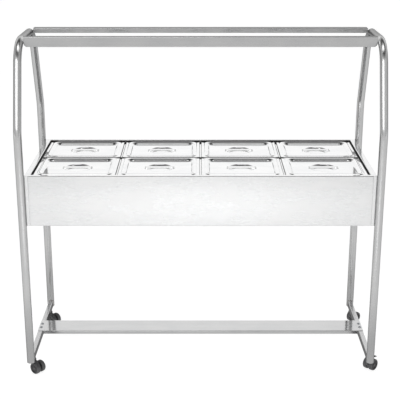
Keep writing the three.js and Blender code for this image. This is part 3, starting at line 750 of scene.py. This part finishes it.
def make_overhead_bars():
    """Two channels: the front one on edge with its lower end corners rounded, the rear one lying flat."""
    low, high = mm_box("overhead_bar_front")
    half = SHEET / 2
    front, rear = low.y + half, high.y
    bottom, top = low.z + half, high.z - half
    lower = rounded([(rear, bottom), (front, bottom), (front, top)], FOLD_R)[:-1]
    upper = rounded([(front, bottom), (front, top), (rear, top)], FOLD_R)[1:]
    web = [Vector((front, bottom + FOLD_R + k)) for k in range(1, round(BAR_CORNER_R))]

    def span(p):
        drop = max(0, BAR_CORNER_R - (p.y - low.z))
        reach = high.x - BAR_CORNER_R + math.sqrt(max(0, BAR_CORNER_R ** 2 - drop ** 2))
        return -reach, reach

    shape = folded(lower + web + upper, SHEET, span, along_x)
    bar = piece("overhead_bar_front_channel", shape, BAR, ["overhead_bar_front"])
    # a painted shade: the front bar's top faces take the rear bar's rougher steel so they reflect less of the
    # bright sky
    paint_shade_on_faces(bar, REAR_BAR, is_top)
    low, high = mm_box("overhead_bar_rear")
    front, rear = low.y + half, high.y - half
    top = high.z - half
    path = rounded([(front, low.z), (front, top), (rear, top), (rear, low.z)], FOLD_R)
    shape = folded(path, SHEET, lambda p: (low.x, high.x), along_x)
    piece("overhead_bar_rear_channel", shape, REAR_BAR, ["overhead_bar_rear"])


# ---------------------------------------------------------------- body
HEM = 12.0  # how far the front and rear panels turn in
END_WRAP = 14.0  # how far the end panels turn round the corners


def make_body():
    """Outer skins: front and rear, the two ends, and the bottom."""
    low, high = mm_box("front_panel")
    half = SHEET / 2
    bottom, top = low.z + half, high.z - half
    for word, face, inward in (("front", low.y + half, 1), ("rear", -low.y - half, -1)):
        hem = face + inward * HEM
        path = rounded([(hem, bottom), (face, bottom), (face, top), (hem, top)], [3.0, 1.6])
        shape = folded(path, SHEET, lambda p: (low.x + 0.2, high.x - 0.2), along_x)
        piece(f"{word}_panel_skin", shape, SATIN, [f"{word}_panel"], bevel=0.35)
    _, body_high = mm_box("deck_frame")
    for word, side in (("left", -1), ("right", 1)):
        web = side * (body_high.x - half)
        fold_end = side * (body_high.x - END_WRAP)
        face = body_high.y - half
        corners = [(fold_end, -face), (web, -face), (web, face), (fold_end, face)]
        path = rounded(corners, 2.4)
        shape = folded(path, SHEET, lambda p: (low.z, high.z), along_z)
        piece(f"end_panel_{word}_skin", shape, SATIN_END, [f"end_panel_{word}"], bevel=0.3)
    plate_low, plate_high = mm_box("bottom_panel")
    inner_y = plate_high.y - HEM - SHEET
    rings = [rounded_ring(plate_high.x, inner_y, 2, z) for z in (plate_low.z, plate_high.z)]
    piece("bottom_panel_plate", skin(rings, caps=True), SATIN, ["bottom_panel"], bevel=0.3)


OPENING_HALF_X = 674.0
OPENING_HALF_Y = 277.5
LEDGE_WIDTH_X = 14.0
LEDGE_WIDTH_Y = 15.0


def make_deck():
    """Flat rim, a fold down round the opening, and the ledge inside it."""
    low, high = mm_box("deck_frame")
    half = SHEET / 2
    top = high.z - half
    ledge = low.z + half
    fold = rounded([(-8, top), (half, top), (half, ledge), (6, ledge)], [2.0, 1.4], 15)
    sides = across(fold)
    loops = []
    for sign in (1, -1):
        rings = [rounded_ring(high.x - 0.5, high.y - 0.5, 1.0, top + sign * half)]
        if sign == 1:
            rings.insert(0, rounded_ring(high.x, high.y, 1.5, top + 0.3))
        for p, n in zip(fold, sides):
            q = p - n * (-sign * half)
            rings.append(rounded_ring(OPENING_HALF_X - q.x, OPENING_HALF_Y - q.x, 5.0 - q.x * 0.4, q.y))
        end_x = OPENING_HALF_X - LEDGE_WIDTH_X
        end_y = OPENING_HALF_Y - LEDGE_WIDTH_Y
        rings.append(rounded_ring(end_x, end_y, 2.0, ledge + sign * half))
        loops.append(rings)
    shape = skin(loops[0] + loops[1][::-1], torus=True)
    piece("deck_frame_top", shape, MIRROR, ["deck_frame"])


make_arch("left")
make_arch("right")
make_foot_bar("left")
make_foot_bar("right")
make_stretcher()
make_overhead_bars()
make_body()
make_deck()


# ---------------------------------------------------------------- pans and lids
PAN_SHEET = 1.2
LID_BEAD = 3.0
LID_PANEL = -5.0
LID_WALL_KNEE = -2.0  # the sunken wall is steeper below this
DISH_R = 54.0
DISH_DEPTH = 11.5
STRAP_HALF_X = 61.0
STRAP_HALF_Y = 15.0
STRAP_CORNER_R = 7.0
STRAP_THICK = 1.6
STRAP_FOLD_R = 5.0
RIVET_X = 57.0
RIVET_Y = 7.0
RIVET = [(3, 0), (2.8, 0.5), (2, 0.9), (0.8, 1.1)]
PAN_HALF_X = 162.5  # half-size gastronorm rim, for pans and lids
PAN_HALF_Y = 132.5
PAN_FLOOR = -100.0
PAN_FLOOR_BEND_R = 12.0
PAN_FLOOR_MIDDLE = (40, 30, 20)  # the last ring before the floor is closed: half sizes and corner radius


def lid_profile():
    """(inset, corner radius, height) from the flange's edge to the flat panel."""
    points = [(0.0, 12.0, -0.25), (0.3, 12.0, 0.0), (9.5, 20.0, 0.0)]
    for k in range(1, 7):
        t = k / 6
        points.append((10 + 4.5 * t, 20 + 4 * t, LID_BEAD * smooth(t)))
    points.append((17.0, 25.0, LID_BEAD + 0.25))
    slope = [(18, LID_BEAD + 0.25), (21, LID_BEAD), (30, LID_WALL_KNEE), (32.5, LID_PANEL), (38, LID_PANEL)]
    wall = rounded(slope, [6.0, 3.0, 1.6], 8)
    points.extend((p.x, 26 - 0.3 * (p.x - 18), p.y) for p in wall)
    return points


def lid_shape():
    """The pressing: flange, raised bead, sunken panel and round dish, with the same shape below."""
    upper = [rounded_ring(PAN_HALF_X - inset, PAN_HALF_Y - inset, r, z) for inset, r, z in lid_profile()]
    upper.append(round_in_ring(DISH_R + 6, LID_PANEL))
    for k in range(0, 11):
        t = k / 10
        upper.append(round_in_ring(DISH_R + 1.5 - 12 * t, LID_PANEL - (DISH_DEPTH - 1.0) * smooth(t)))
    upper.append(round_in_ring(18, LID_PANEL - DISH_DEPTH + 0.4))
    upper.append(round_in_ring(4, LID_PANEL - DISH_DEPTH))
    drop = Vector((0, 0, -PAN_SHEET))
    under = [[point + drop for point in ring] for ring in upper]
    return skin(under[::-1] + upper, caps=True)


def strap_shape():
    """The strap handle over the dish, with round ends and two rivets in each."""
    foot = LID_PANEL + 0.8
    crown = foot + 1.5
    inner = [(-STRAP_HALF_X, foot), (-54, foot), (-47, crown), (47, crown), (54, foot), (STRAP_HALF_X, foot)]
    path = rounded(inner, STRAP_FOLD_R)
    ends = [Vector((STRAP_HALF_X - d, foot)) for d in (0.4, 1.2, 2.4, 4.2)]
    path = path[:1] + [Vector((-p.x, p.y)) for p in ends] + path[1:-1] + ends[::-1] + path[-1:]

    def span(p):
        past = max(0, abs(p.x) - (STRAP_HALF_X - STRAP_CORNER_R))
        reach = STRAP_HALF_Y - STRAP_CORNER_R + math.sqrt(max(0, STRAP_CORNER_R ** 2 - past ** 2))
        return -reach, reach

    strap = folded(path, STRAP_THICK, span, along_y)
    rivets = []
    for x in (-RIVET_X, RIVET_X):
        for y in (-RIVET_Y, RIVET_Y):
            rivets.append(shifted(turned(RIVET, 18), x, y, foot + 0.7))
    return merged(strap, *rivets)


def pan_shape():
    """A deep-drawn pan with a flat rim, a stacking shoulder and a rounded floor edge."""
    steps = [(0, 12, -0.6), (0, 12, 0), (8, 24, 0), (10.5, 27, -0.6), (12, 29, -2.2)]
    steps += [(12.6, 29, -18), (14.6, 29, -20), (15, 29, -24)]
    for k in range(0, 7):
        angle = math.radians(90 * k / 6)
        inset = 20 + PAN_FLOOR_BEND_R * (1 - math.cos(angle))
        steps.append((inset, 34, PAN_FLOOR + PAN_SHEET + PAN_FLOOR_BEND_R * (1 - math.sin(angle))))
    inside = [rounded_ring(PAN_HALF_X - d, PAN_HALF_Y - d, r, z) for d, r, z in steps]
    inside.append(rounded_ring(*PAN_FLOOR_MIDDLE, PAN_FLOOR + PAN_SHEET))
    outside = []
    for d, r, z in steps[1:]:
        on_rim = d < 11
        below = PAN_SHEET if on_rim else PAN_SHEET * 0.2
        out = 0 if on_rim else PAN_SHEET
        ring = rounded_ring(PAN_HALF_X - d + out, PAN_HALF_Y - d + out, r + out, max(PAN_FLOOR, z - below))
        outside.append(ring)
    outside.append(rounded_ring(*PAN_FLOOR_MIDDLE, PAN_FLOOR))
    return skin(outside[::-1] + inside, caps=True)


def make_pans():
    lid = lid_shape()
    strap = strap_shape()
    pan = pan_shape()
    places = [f"{row}_{column}" for row in ("front", "rear") for column in range(1, 5)]
    for place in places:
        body = f"lid_{place}"
        centre = middle(body)
        _, high = mm_box(body)
        flange = Matrix.Translation((centre.x, centre.y, high.z - LID_BEAD))
        piece(f"lid_{place}_pressing", lid, LID, [f"lid_{place}"], body, matrix=flange)
        piece(f"lid_{place}_strap", strap, STRAP, (), body, bevel=0.3, matrix=flange)
        body = f"pan_{place}"
        _, high = mm_box(body)
        rim = Matrix.Translation((centre.x, centre.y, high.z))
        piece(f"pan_{place}_shell", pan, MIRROR, [f"pan_{place}"], body, matrix=rim)


make_pans()


# ---------------------------------------------------------------- painted shade strips, grid, tank and element
def extruded(outline, start, end, to_space, edge=0.0):
    """A closed 2-D outline made solid from start to end, its edges eased by a small chamfer."""
    points = [Vector(p) for p in outline]
    count = len(points)
    inner = []
    for i, point in enumerate(points):
        way_in = (point - points[i - 1]).normalized()
        way_out = (points[(i + 1) % count] - point).normalized()
        bisector = Vector((-way_in.y - way_out.y, way_in.x + way_out.x)).normalized()
        slant = max(0.5, bisector.dot(Vector((-way_in.y, way_in.x))))
        inner.append(point + bisector * edge / slant)
    levels = [(inner, start), (points, start + edge), (points, end - edge), (inner, end)]
    return skin([[to_space(p.x, p.y, level) for p in ring] for ring, level in levels], caps=True)


def closed_round(corners, radius, step=15):
    """The closed polygon with an arc at each corner."""
    count = len(corners)
    middle = (Vector(corners[0]) + Vector(corners[-1])) / 2
    radii = radius if isinstance(radius, (list, tuple)) else [radius] * count
    path = rounded([middle, *corners, middle], radii, step)
    return path[:-1]


# Black strips that paint shade in the gaps: a bead round the deck's recess, strips over the divider bars
# between the lids, and a painted shadow line under the deck's front edge.
SHADE_BEAD_FOOT = 5.5  # width along the ledge
SHADE_BEAD_THICK = 1.2
SHADE_STRIP_HEIGHT = 3.4
CELL_X = 335.0
ROW_SHADE_HALF_X = 664.0
ROW_SHADE_HALF_Y = 4.4
COLUMN_SHADE_IN = 3.3  # a pair of strips lies this far to that far from the middle of each column bar
COLUMN_SHADE_OUT = 4.7
COLUMN_SHADE_START = 4.6
COLUMN_SHADE_END = 246.0
BACK_SHADE_GAP = 20.5  # from the deck's rear edge to the painted-shade block behind each column bar
SHADOW_LINE_DROP = 1.9
SHADOW_LINE_HEIGHT = 1.3


def rectangle(left, right, bottom, top):
    return [(left, bottom), (right, bottom), (right, top), (left, top)]


def make_painted_shade():
    """Black strips that paint shade: on the recess wall and the ledge's outer edge, over the bars, and a
    painted shadow line under the front edge.
    """
    low, high = mm_box("deck_frame")
    ledge = low.z + SHEET + 0.1
    top = high.z - 1.6
    section = [(0.2, top), (SHADE_BEAD_THICK, top), (SHADE_BEAD_THICK + 0.3, ledge + 1.6), (SHADE_BEAD_FOOT, ledge + 1.1)]
    section += [(SHADE_BEAD_FOOT, ledge), (0.2, ledge)]
    rings = []
    for inward, z in section:
        rings.append(rounded_ring(OPENING_HALF_X - SHEET - inward, OPENING_HALF_Y - SHEET - inward, 4.0, z))
    _, grid_high = mm_box("divider_grid")
    base = grid_high.z + 0.02
    crest = base + SHADE_STRIP_HEIGHT
    row = rectangle(-ROW_SHADE_HALF_Y, ROW_SHADE_HALF_Y, base, crest)
    shade_strips = [extruded(row, -ROW_SHADE_HALF_X, ROW_SHADE_HALF_X, along_x, 0.2)]
    for middle in (-CELL_X, 0, CELL_X):
        for left, right in ((-COLUMN_SHADE_OUT, -COLUMN_SHADE_IN), (COLUMN_SHADE_IN, COLUMN_SHADE_OUT)):
            line = rectangle(middle + left, middle + right, base, crest - 1)
            shade_strips.append(extruded(line, -COLUMN_SHADE_END, -COLUMN_SHADE_START, along_y, 0.1))
            shade_strips.append(extruded(line, COLUMN_SHADE_START, COLUMN_SHADE_END, along_y, 0.1))
        shade_block = rectangle(middle - COLUMN_SHADE_OUT, middle + COLUMN_SHADE_OUT, base, crest)
        shade_strips.append(extruded(shade_block, COLUMN_SHADE_END, high.y - BACK_SHADE_GAP, along_y, 0.1))
    piece("deck_frame_painted_shade", merged(skin(rings, torus=True), *shade_strips), SHADE_BLACK)
    # a painted shadow line under the deck's front edge
    shadow_line_top = high.z - SHADOW_LINE_DROP
    shadow_line = rectangle(-high.y + 0.05, -high.y + 1, shadow_line_top - SHADOW_LINE_HEIGHT, shadow_line_top)
    shape = extruded(shadow_line, -high.x + END_WRAP, high.x - END_WRAP, along_x, 0.1)
    piece("deck_frame_painted_shadow", shape, SHADE_BLACK)


DIVIDER_HALF = 12.0
WEB_HALF_THICK = 0.75
DIVIDER_TOP_THICK = 1.3


def make_divider_grid():
    """T-shaped bars: one between the rows and three between the columns."""
    low, high = mm_box("divider_grid")
    top = high.z
    edge = DIVIDER_HALF - 0.05
    half = WEB_HALF_THICK
    under = top - DIVIDER_TOP_THICK
    outline = [(-edge, under), (-half, under), (-half, low.z), (half, low.z), (half, under)]
    outline += [(edge, under), (edge, top - 0.4), (edge - 0.5, top), (-edge + 0.5, top), (-edge, top - 0.4)]
    bars = [extruded(outline, low.x, high.x, along_x)]
    for middle in (-CELL_X, 0, CELL_X):
        for start, end in ((low.y, -DIVIDER_HALF), (DIVIDER_HALF, high.y)):
            bars.append(shifted(extruded(outline, start, end, along_y), middle, 0, 0))
    piece("divider_grid_bars", merged(*bars), MIRROR, ["divider_grid"])


TANK_HALF_X = 661.0
TANK_HALF_Y = 263.5
TANK_CORNER_R = 12.0
TANK_FLOOR_R = 10.0
STRAINER_R = 19.0


def make_tank():
    """The water bath: a flat rim, straight walls, a rounded floor edge, and a strainer over the drain."""
    low, high = mm_box("water_tank")
    floor = low.z
    angles = [math.radians(15 * k) for k in range(7)]
    arc = [(TANK_FLOOR_R * (1 - math.cos(t)), TANK_FLOOR_R * (1 - math.sin(t))) for t in angles]

    def wall(out, z):
        return rounded_ring(TANK_HALF_X + out, TANK_HALF_Y + out, TANK_CORNER_R + max(0, out), z)

    inside = [rounded_ring(high.x, high.y, 3, z) for z in (high.z - SHEET, high.z)]
    inside += [wall(SHEET, high.z), wall(0, high.z - SHEET)]
    inside += [wall(-inset, floor + SHEET + rise) for inset, rise in arc]
    outside = [wall(SHEET, high.z - SHEET)]
    for inset, rise in arc:
        half_x, half_y = TANK_HALF_X + SHEET - inset, TANK_HALF_Y + SHEET - inset
        outside.append(rounded_ring(half_x, half_y, TANK_CORNER_R + SHEET, floor + rise))
    piece("water_tank_shell", skin(outside[::-1] + inside, caps=True), SATIN, ["water_tank"])
    drain = middle("drain_valve")
    strainer = [(STRAINER_R, 0.05), (STRAINER_R, 0.8), (STRAINER_R - 2, 1.6), (10, 1.6), (9, 0.6), (3, 0.4)]
    shape = shifted(turned(strainer, 40), drain.x, drain.y, floor + SHEET)
    piece("water_tank_strainer", shape, ZINC)


ELEMENT_R = 5.0
ELEMENT_BEND_R = 60.0
CLIP_XS = (-420, 0, 420)
HOOP_R = 6.2


def make_element():
    """A U-shaped rod on three cross bars, held down on each by two hoops."""
    low, high = mm_box("heating_element")
    run_y = high.y - ELEMENT_R
    bend_x = high.x - ELEMENT_R
    z = middle("heating_element").z
    path = rounded([(low.x, -run_y), (bend_x, -run_y), (bend_x, run_y), (low.x, run_y)], ELEMENT_BEND_R, 6)
    rod = pipe(path, ELEMENT_R - 0.1, lambda x, y, aside: Vector((x, y, z + aside)), 20)
    piece("heating_element_rod", rod, SHEATH, ["heating_element"])
    clips = []
    cross_bar = closed_round(rectangle(-run_y - 9, run_y + 9, z - 6.4, z - 5.2), 0.4)
    angles = [math.pi * k / 12 for k in range(13)]
    for x in CLIP_XS:
        clips.append(extruded(cross_bar, x - 6, x + 6, along_x))
        for y in (-run_y, run_y):
            arch = [(y + HOOP_R * math.cos(t), z + HOOP_R * math.sin(t)) for t in angles]
            hoop = [Vector(p) for p in [(y + HOOP_R, z - 5.8), *arch, (y - HOOP_R, z - 5.8)]]
            clips.append(folded(hoop, 1.0, lambda p, x=x: (x - 5, x + 5), along_x))
    piece("heating_element_clips", merged(*clips), ZINC)


make_painted_shade()
make_divider_grid()
make_tank()
make_element()


# ---------------------------------------------------------------- control box
KNOB_Y = 22.0
LAMP_Y = -36.0
BOX_SPLIT_Y = -10.0
KNOB_HOLE_R = 3.3
LAMP_HOLE_R = 6.3
BOX_SCREW_IN = 8.0
BOX_SCREW = (3.2, 1.8)
TICKS = 11
DIAL_START = -135.0
DIAL_STEP = 27.0
TICK_INNER = 24.5
TICK_LENGTHS = (3.0, 5.0)
FLUTES = 18
POINTS_PER_FLUTE = 4


def facing_left(x, y, z):
    """Puts a shape that stands on z = 0 against a face that looks along -X."""
    return Matrix.Translation((x, y, z)) @ Matrix.Rotation(-math.pi / 2, 4, "Y")


def make_control_box():
    """A folded cover with two holes in its face, four screws and a plain scale of ticks."""
    low, high = mm_box("control_box")
    mid_z = (low.z + high.z) / 2
    half_y = (high.y - low.y) / 2
    half_z = (high.z - low.z) / 2
    face = low.x
    rim = SHEET + 2.0
    profile = [(0, 3, high.x), (0, 3, face + 2.2), (0.6, 2.6, face + 0.8), (2, 2, face + 0.05)]
    profile += [(rim, 1, face), (rim, 1, face + SHEET), (SHEET, 1.5, face + SHEET + 1), (SHEET, 1.5, high.x)]

    def upright(ring, x, middle_y):
        return [Vector((x, middle_y + p.x, mid_z + p.y)) for p in ring]

    rings = [upright(rounded_ring(half_y - inset, half_z - inset, r, 0), x, 0) for inset, r, x in profile]
    parts = [skin(rings, torus=True)]
    edge = half_y - rim
    halves = [(-edge, BOX_SPLIT_Y, LAMP_Y, LAMP_HOLE_R), (BOX_SPLIT_Y, edge, KNOB_Y, KNOB_HOLE_R)]
    for y0, y1, hole_y, hole_r in halves:
        sheet = rounded_ring((y1 - y0) / 2, half_z - rim, 0.2, 0)
        hole = round_in_ring(hole_r, 0)
        outer = [upright(sheet, x, (y0 + y1) / 2) for x in (face, face + SHEET)]
        inner = [upright(hole, x, hole_y) for x in (face, face + SHEET)]
        parts.append(skin([outer[0], inner[0], inner[1], outer[1]], torus=True))
    piece("control_box_cover", merged(*parts), SATIN_END, ["control_box"])
    screws = []
    for y in (low.y + BOX_SCREW_IN, high.y - BOX_SCREW_IN):
        for z in (low.z + BOX_SCREW_IN, high.z - BOX_SCREW_IN):
            screws.append(moved(screw(*BOX_SCREW), facing_left(face - 0.02, y, z)))
    piece("control_box_screws", merged(*screws), ZINC)
    ticks = []
    for k in range(TICKS):
        bar = rectangle(-0.5, 0.5, TICK_INNER, TICK_INNER + TICK_LENGTHS[k % 5 == 0])
        angle = math.radians(DIAL_START + DIAL_STEP * k + 90)
        turn = facing_left(face, KNOB_Y, mid_z) @ Matrix.Rotation(angle, 4, "Z")
        ticks.append(moved(extruded(bar, 0.02, 0.3, along_z, 0.05), turn))
    piece("control_box_dial", merged(*ticks), BLACK)
    make_knob(face, mid_z)
    make_lamp(face, mid_z)


# (radius, height, depth of the flutes)
KNOB = [(3, -8, 0), (3, 0.3, 0), (19, 0.3, 0), (20.6, 1, 0), (21, 2.2, 0), (20.4, 3.4, 0)]
KNOB += [(18.6, 4.2, 0.3), (18.2, 6, 0.9), (17.2, 15.5, 0.9), (16.6, 18.2, 0.5)]
KNOB += [(15.4, 19.8, 0), (13.6, 20.4, 0), (11.5, 20, 0), (10.5, 19.4, 0), (3, 19.2, 0)]
POINTER_TURN = math.pi * 1.25


def make_knob(face, mid_z):
    rings = []
    for radius, z, depth in KNOB:
        ring = []
        for i, p in enumerate(circle(radius, z, FLUTES * POINTS_PER_FLUTE)):
            cut = depth / radius * (0.5 - 0.5 * math.cos(2 * math.pi * i / POINTS_PER_FLUTE))
            ring.append(Vector((p.x * (1 - cut), p.y * (1 - cut), z)))
        rings.append(ring)
    place = facing_left(face, KNOB_Y, mid_z)
    body = "thermostat_knob"
    piece("thermostat_knob_cap", skin(rings, caps=True), BLACK, [body], body, matrix=place)
    pointer = extruded(closed_round(rectangle(-0.8, 0.8, 9, 14.6), 0.3), 19.3, 20.5, along_z, 0.1)
    aim = place @ Matrix.Rotation(POINTER_TURN, 4, "Z")
    piece("thermostat_knob_pointer", pointer, MARK, (), body, matrix=aim)


BEZEL = [(6.1, 0.3), (8.6, 0.3), (9, 0.8), (8.8, 2.2), (8, 3), (6.3, 3), (6.1, 2.4)]
LAMP_GLASS = [(5.9, -8), (6, 3), (5.8, 4.2), (5.2, 5.5), (4, 6.6), (2.2, 7.3), (0.6, 7.5)]


def make_lamp(face, mid_z):
    place = facing_left(face, LAMP_Y, mid_z)
    piece("pilot_lamp_bezel", skin(stacked(BEZEL, 0.0, 40), torus=True), ZINC, matrix=place)
    piece("pilot_lamp_glass", turned(LAMP_GLASS, 40), LENS, ["pilot_lamp"], matrix=place)


# Heights of the nut are from the gland's top.
GLAND_NUT = [(9, -13.2), (10.6, -12.9, HEX), (11, -12.2, HEX), (11, -7.8, HEX), (9.4, -7.35), (5.9, -7.35)]
GLAND_NUT += [(5.9, 0)]
GLAND_RIBS = 6
GLAND_PITCH = 2.2


def make_gland():
    """Cable gland: ribbed sleeve below, hexagon nut above, hung under the control box."""
    low, high = mm_box("cable_gland")
    centre = middle("cable_gland")
    rings = stacked([(4.6, 0), (5.4, 0.4), (8.4, 3.6)], low.z)
    for k in range(GLAND_RIBS):
        rings += stacked([(9, 4.5), (8.5, 5.2), (8.5, 5.9)], low.z + k * GLAND_PITCH)
    rings += stacked(GLAND_NUT, high.z)
    shape = shifted(skin(rings, caps=True), centre.x, centre.y, 0)
    piece("cable_gland_body", shape, BLACK, ["cable_gland"])


VALVE_LOWER = [(8.4, 17.4), (15.4, 18.2, HEX), (16, 19, HEX), (16, 26.4, HEX), (15.4, 27.2, HEX)]
VALVE_LOWER += [(12.4, 28.4)]
VALVE_UPPER = [(15.4, 54.6, HEX), (16, 55.4, HEX), (16, 61.4, HEX), (12.4, 62.8), (11, 66)]
VALVE_THREADS = 5
VALVE_PITCH = 2.8
VALVE_FLANGE = [(11, -3), (19.6, -3), (20, -2.4), (20, 0)]  # heights are from the valve's top


def drain_rings(base, top):
    """Ball valve from its threaded outlet up to its flange: two hexagons with the ball's bulge between."""
    rings = stacked([(7.6, 0), (9, 1)], base)
    for k in range(VALVE_THREADS):
        rings += stacked([(9, 2.2), (8.2, 3.4)], base + k * VALVE_PITCH)
    rings += stacked(VALVE_LOWER, base)
    angles = [math.radians(-50 + 12.5 * k) for k in range(9)]
    rings += stacked([(9.2 + 6.8 * math.cos(t), 42 + 13.5 * math.sin(t)) for t in angles], base)
    return rings + stacked(VALVE_UPPER, base) + stacked(VALVE_FLANGE, top)


LEVER_HUB = [(7.2, -4), (8, -3.2), (8, 3.2), (7.2, 4)]
LEVER_HALF_Z = 6.8
LEVER_CORNERS = [5, 6, 6, 5]
LEVER_RIBS = 7
LEVER_RIB_PITCH = 5


def make_drain():
    low, high = mm_box("drain_valve")
    valve = middle("drain_valve")
    shape = shifted(skin(drain_rings(low.z, high.z), caps=True), valve.x, valve.y, 0)
    piece("drain_valve_body", shape, BRASS, ["drain_valve"])
    low, high = mm_box("drain_lever")
    x = low.x + 4
    mid_z = middle("drain_lever").z
    lying = Matrix.Translation((x, valve.y, mid_z)) @ Matrix.Rotation(math.pi / 2, 4, "Y")
    hub = moved(turned(LEVER_HUB, 40), lying)
    flat = rectangle(valve.y - 6, high.y, mid_z - LEVER_HALF_Z, mid_z + LEVER_HALF_Z)
    bar = extruded(closed_round(flat, LEVER_CORNERS), x + 0.2, x + 2.9, along_x, 0.6)
    ribs = []
    for k in range(LEVER_RIBS):
        y = high.y - 10 - k * LEVER_RIB_PITCH
        rib = closed_round(rectangle(y - 1, y + 1, mid_z - 5, mid_z + 5), 0.8)
        ribs.append(extruded(rib, x + 2.5, x + 3.6, along_x, 0.3))
    body = "drain_lever"
    piece("drain_lever_handle", merged(hub, bar, *ribs), BLACK, [body], body)


make_control_box()
make_gland()
make_drain()


# ---------------------------------------------------------------- casters
CASTER_HEADINGS = {"front_left": -38, "front_right": 45, "rear_left": -38, "rear_right": 45}
BRAKED_CASTER = "front_right"
TRAIL = 24.0
WHEEL_R = 25.0
WHEEL_INNER = 6.2
SPOKES = 6
# Profiles and outlines: (radius or distance from the stem's axis, height).
TYRE = [(19.2, 0.4), (21.5, 0), (23.8, 0.2), (24.7, 0.9), (25, 2.2), (25, 12.8), (24.6, 14.4), (23.6, 15.8)]
TYRE += [(22, 16.7), (20.6, 17), (19.4, 16.6), (19.0, 15.4)]
HUB = [(3.4, 12), (3.4, 0.2), (7.5, 0.2), (8.5, 1.6), (16.5, 1.6), (17.6, 0.4), (19.3, 0.4), (19.1, 15.2)]
HUB += [(18.2, 15.4), (17.2, 13.6), (16.4, 12.6), (8.6, 12.6), (7.8, 13.4), (7, 15.6), (6, 16.3), (1.5, 16.4)]
SPOKE = [(6.5, -1.4), (17.8, -0.9), (17.8, 0.9), (6.5, 1.4)]
HOUSING = [(-7.6, 51.5), (-7.6, 34), (10, 15), (18, 11.4), (28, 11.4), (35.6, 17), (37.6, 27), (33, 37)]
HOUSING += [(22, 48), (10.6, 51.5)]
HOUSING_RADII = [1, 6, 5, 3, 3, 4, 4, 4, 6, 1]
HOUSING_CAP = [(10.2, 50.8), (11, 51.5), (11, 57.4), (10.5, 58.9), (9.2, 59.8), (7.6, 60), (4.3, 60)]
STEM = [(3.6, 38), (4, 38.5), (4, 60.3), (8.6, 60.3), (9, 60.6), (9, 61.8)]
STEM += [(8.8, 62, HEX), (9, 62.4, HEX), (9, 65.2, HEX), (7.6, 65.7)]
STEM_THREADS = 8
STEM_PITCH = 2.2
BRAKE = [(13.4, 52), (30, 52.4), (40, 51.4), (60, 46.2), (61.8, 48.4), (42, 53.8), (24, 56.6), (14, 56.6)]
BRAKE_RADII = [1, 8, 8, 0.8, 1, 8, 8, 1.5]
BRAKE_SLOPE = 0.273  # fall of the pedal's top for each millimetre outwards
BRAKE_RIBS = 5
BRAKE_RIB_PITCH = 3.4
AXLE = [(2.4, -17), (3, -16.4), (3, 16.4), (2.4, 17)]


def wheel_shapes():
    """Tyre and hub, from the inner face at z = 0 to the outer face."""
    spoke = extruded(SPOKE, 12, 14.2, along_z, 0.4)
    spokes = [moved(spoke, Matrix.Rotation(2 * math.pi * k / SPOKES, 4, "Z")) for k in range(SPOKES)]
    return skin(stacked(TYRE, 0.0, 64), torus=True), merged(turned(HUB, 48), *spokes)


def housing_shape():
    """The web between the wheels and the round cap on it."""
    web = extruded(closed_round(HOUSING, HOUSING_RADII), -5.5, 5.5, along_y, 0.9)
    return merged(web, turned(HOUSING_CAP, 48))


def stem_shape():
    """A threaded stem with a collar and a hexagon nut."""
    rings = stacked(STEM)
    for k in range(STEM_THREADS):
        rings += stacked([(5, 65.8), (4.4, 66.9)], k * STEM_PITCH)
    return skin(rings + stacked([(4.6, 83.4), (3.8, 84)]), caps=True)


def brake_shape():
    """A pedal with five ribs across its end."""
    pedal = extruded(closed_round(BRAKE, BRAKE_RADII), -7.8, 7.8, along_y, 1.0)
    ribs = []
    for k in range(BRAKE_RIBS):
        x = 44 + k * BRAKE_RIB_PITCH
        z = 53.2 - (x - 42) * BRAKE_SLOPE
        rib = closed_round(rectangle(x - 0.8, x + 0.8, -5.5, 5.5), 0.6)
        ribs.append(extruded(rib, z - 1, z + 0.75, along_z, 0.3))
    return merged(pedal, *ribs)


def make_casters():
    tyre, hub = wheel_shapes()
    housing = housing_shape()
    stem = stem_shape()
    axle = turned(AXLE, 32)
    for place, heading in CASTER_HEADINGS.items():
        name = f"caster_{place}"
        stem_axis = middle(f"{name}_stem")
        at = Matrix.Translation((stem_axis.x, stem_axis.y, 0))
        turn = at @ Matrix.Rotation(math.radians(heading), 4, "Z")
        piece(f"{name}_stem_nut", stem, ZINC, [f"{name}_stem"], matrix=turn)
        piece(f"{name}_housing_web", housing, BLACK, [f"{name}_housing"], name, matrix=turn)
        hung = turn @ Matrix.Translation((TRAIL, 0, WHEEL_R))
        across_y = hung @ Matrix.Rotation(-math.pi / 2, 4, "X")
        piece(f"{name}_axle_pin", axle, ZINC, [f"{name}_axle"], name, matrix=across_y)
        for letter, side in (("a", -1), ("b", 1)):
            facing = Matrix.Rotation(-side * math.pi / 2, 4, "X")
            seat = hung @ Matrix.Translation((0, side * WHEEL_INNER, 0)) @ facing
            wheel = f"{name}_wheel_{letter}"
            piece(f"{wheel}_hub", hub, BLACK, [wheel], wheel, matrix=seat)
            piece(f"{wheel}_tyre", tyre, TREAD, (), wheel, matrix=seat)
        if place == BRAKED_CASTER:
            brake = f"{name}_brake"
            piece(f"{brake}_pedal", brake_shape(), BLACK, [brake], brake, matrix=turn)


make_casters()


# ---------------------------------------------------------------- finish
bpy.context.view_layer.update()
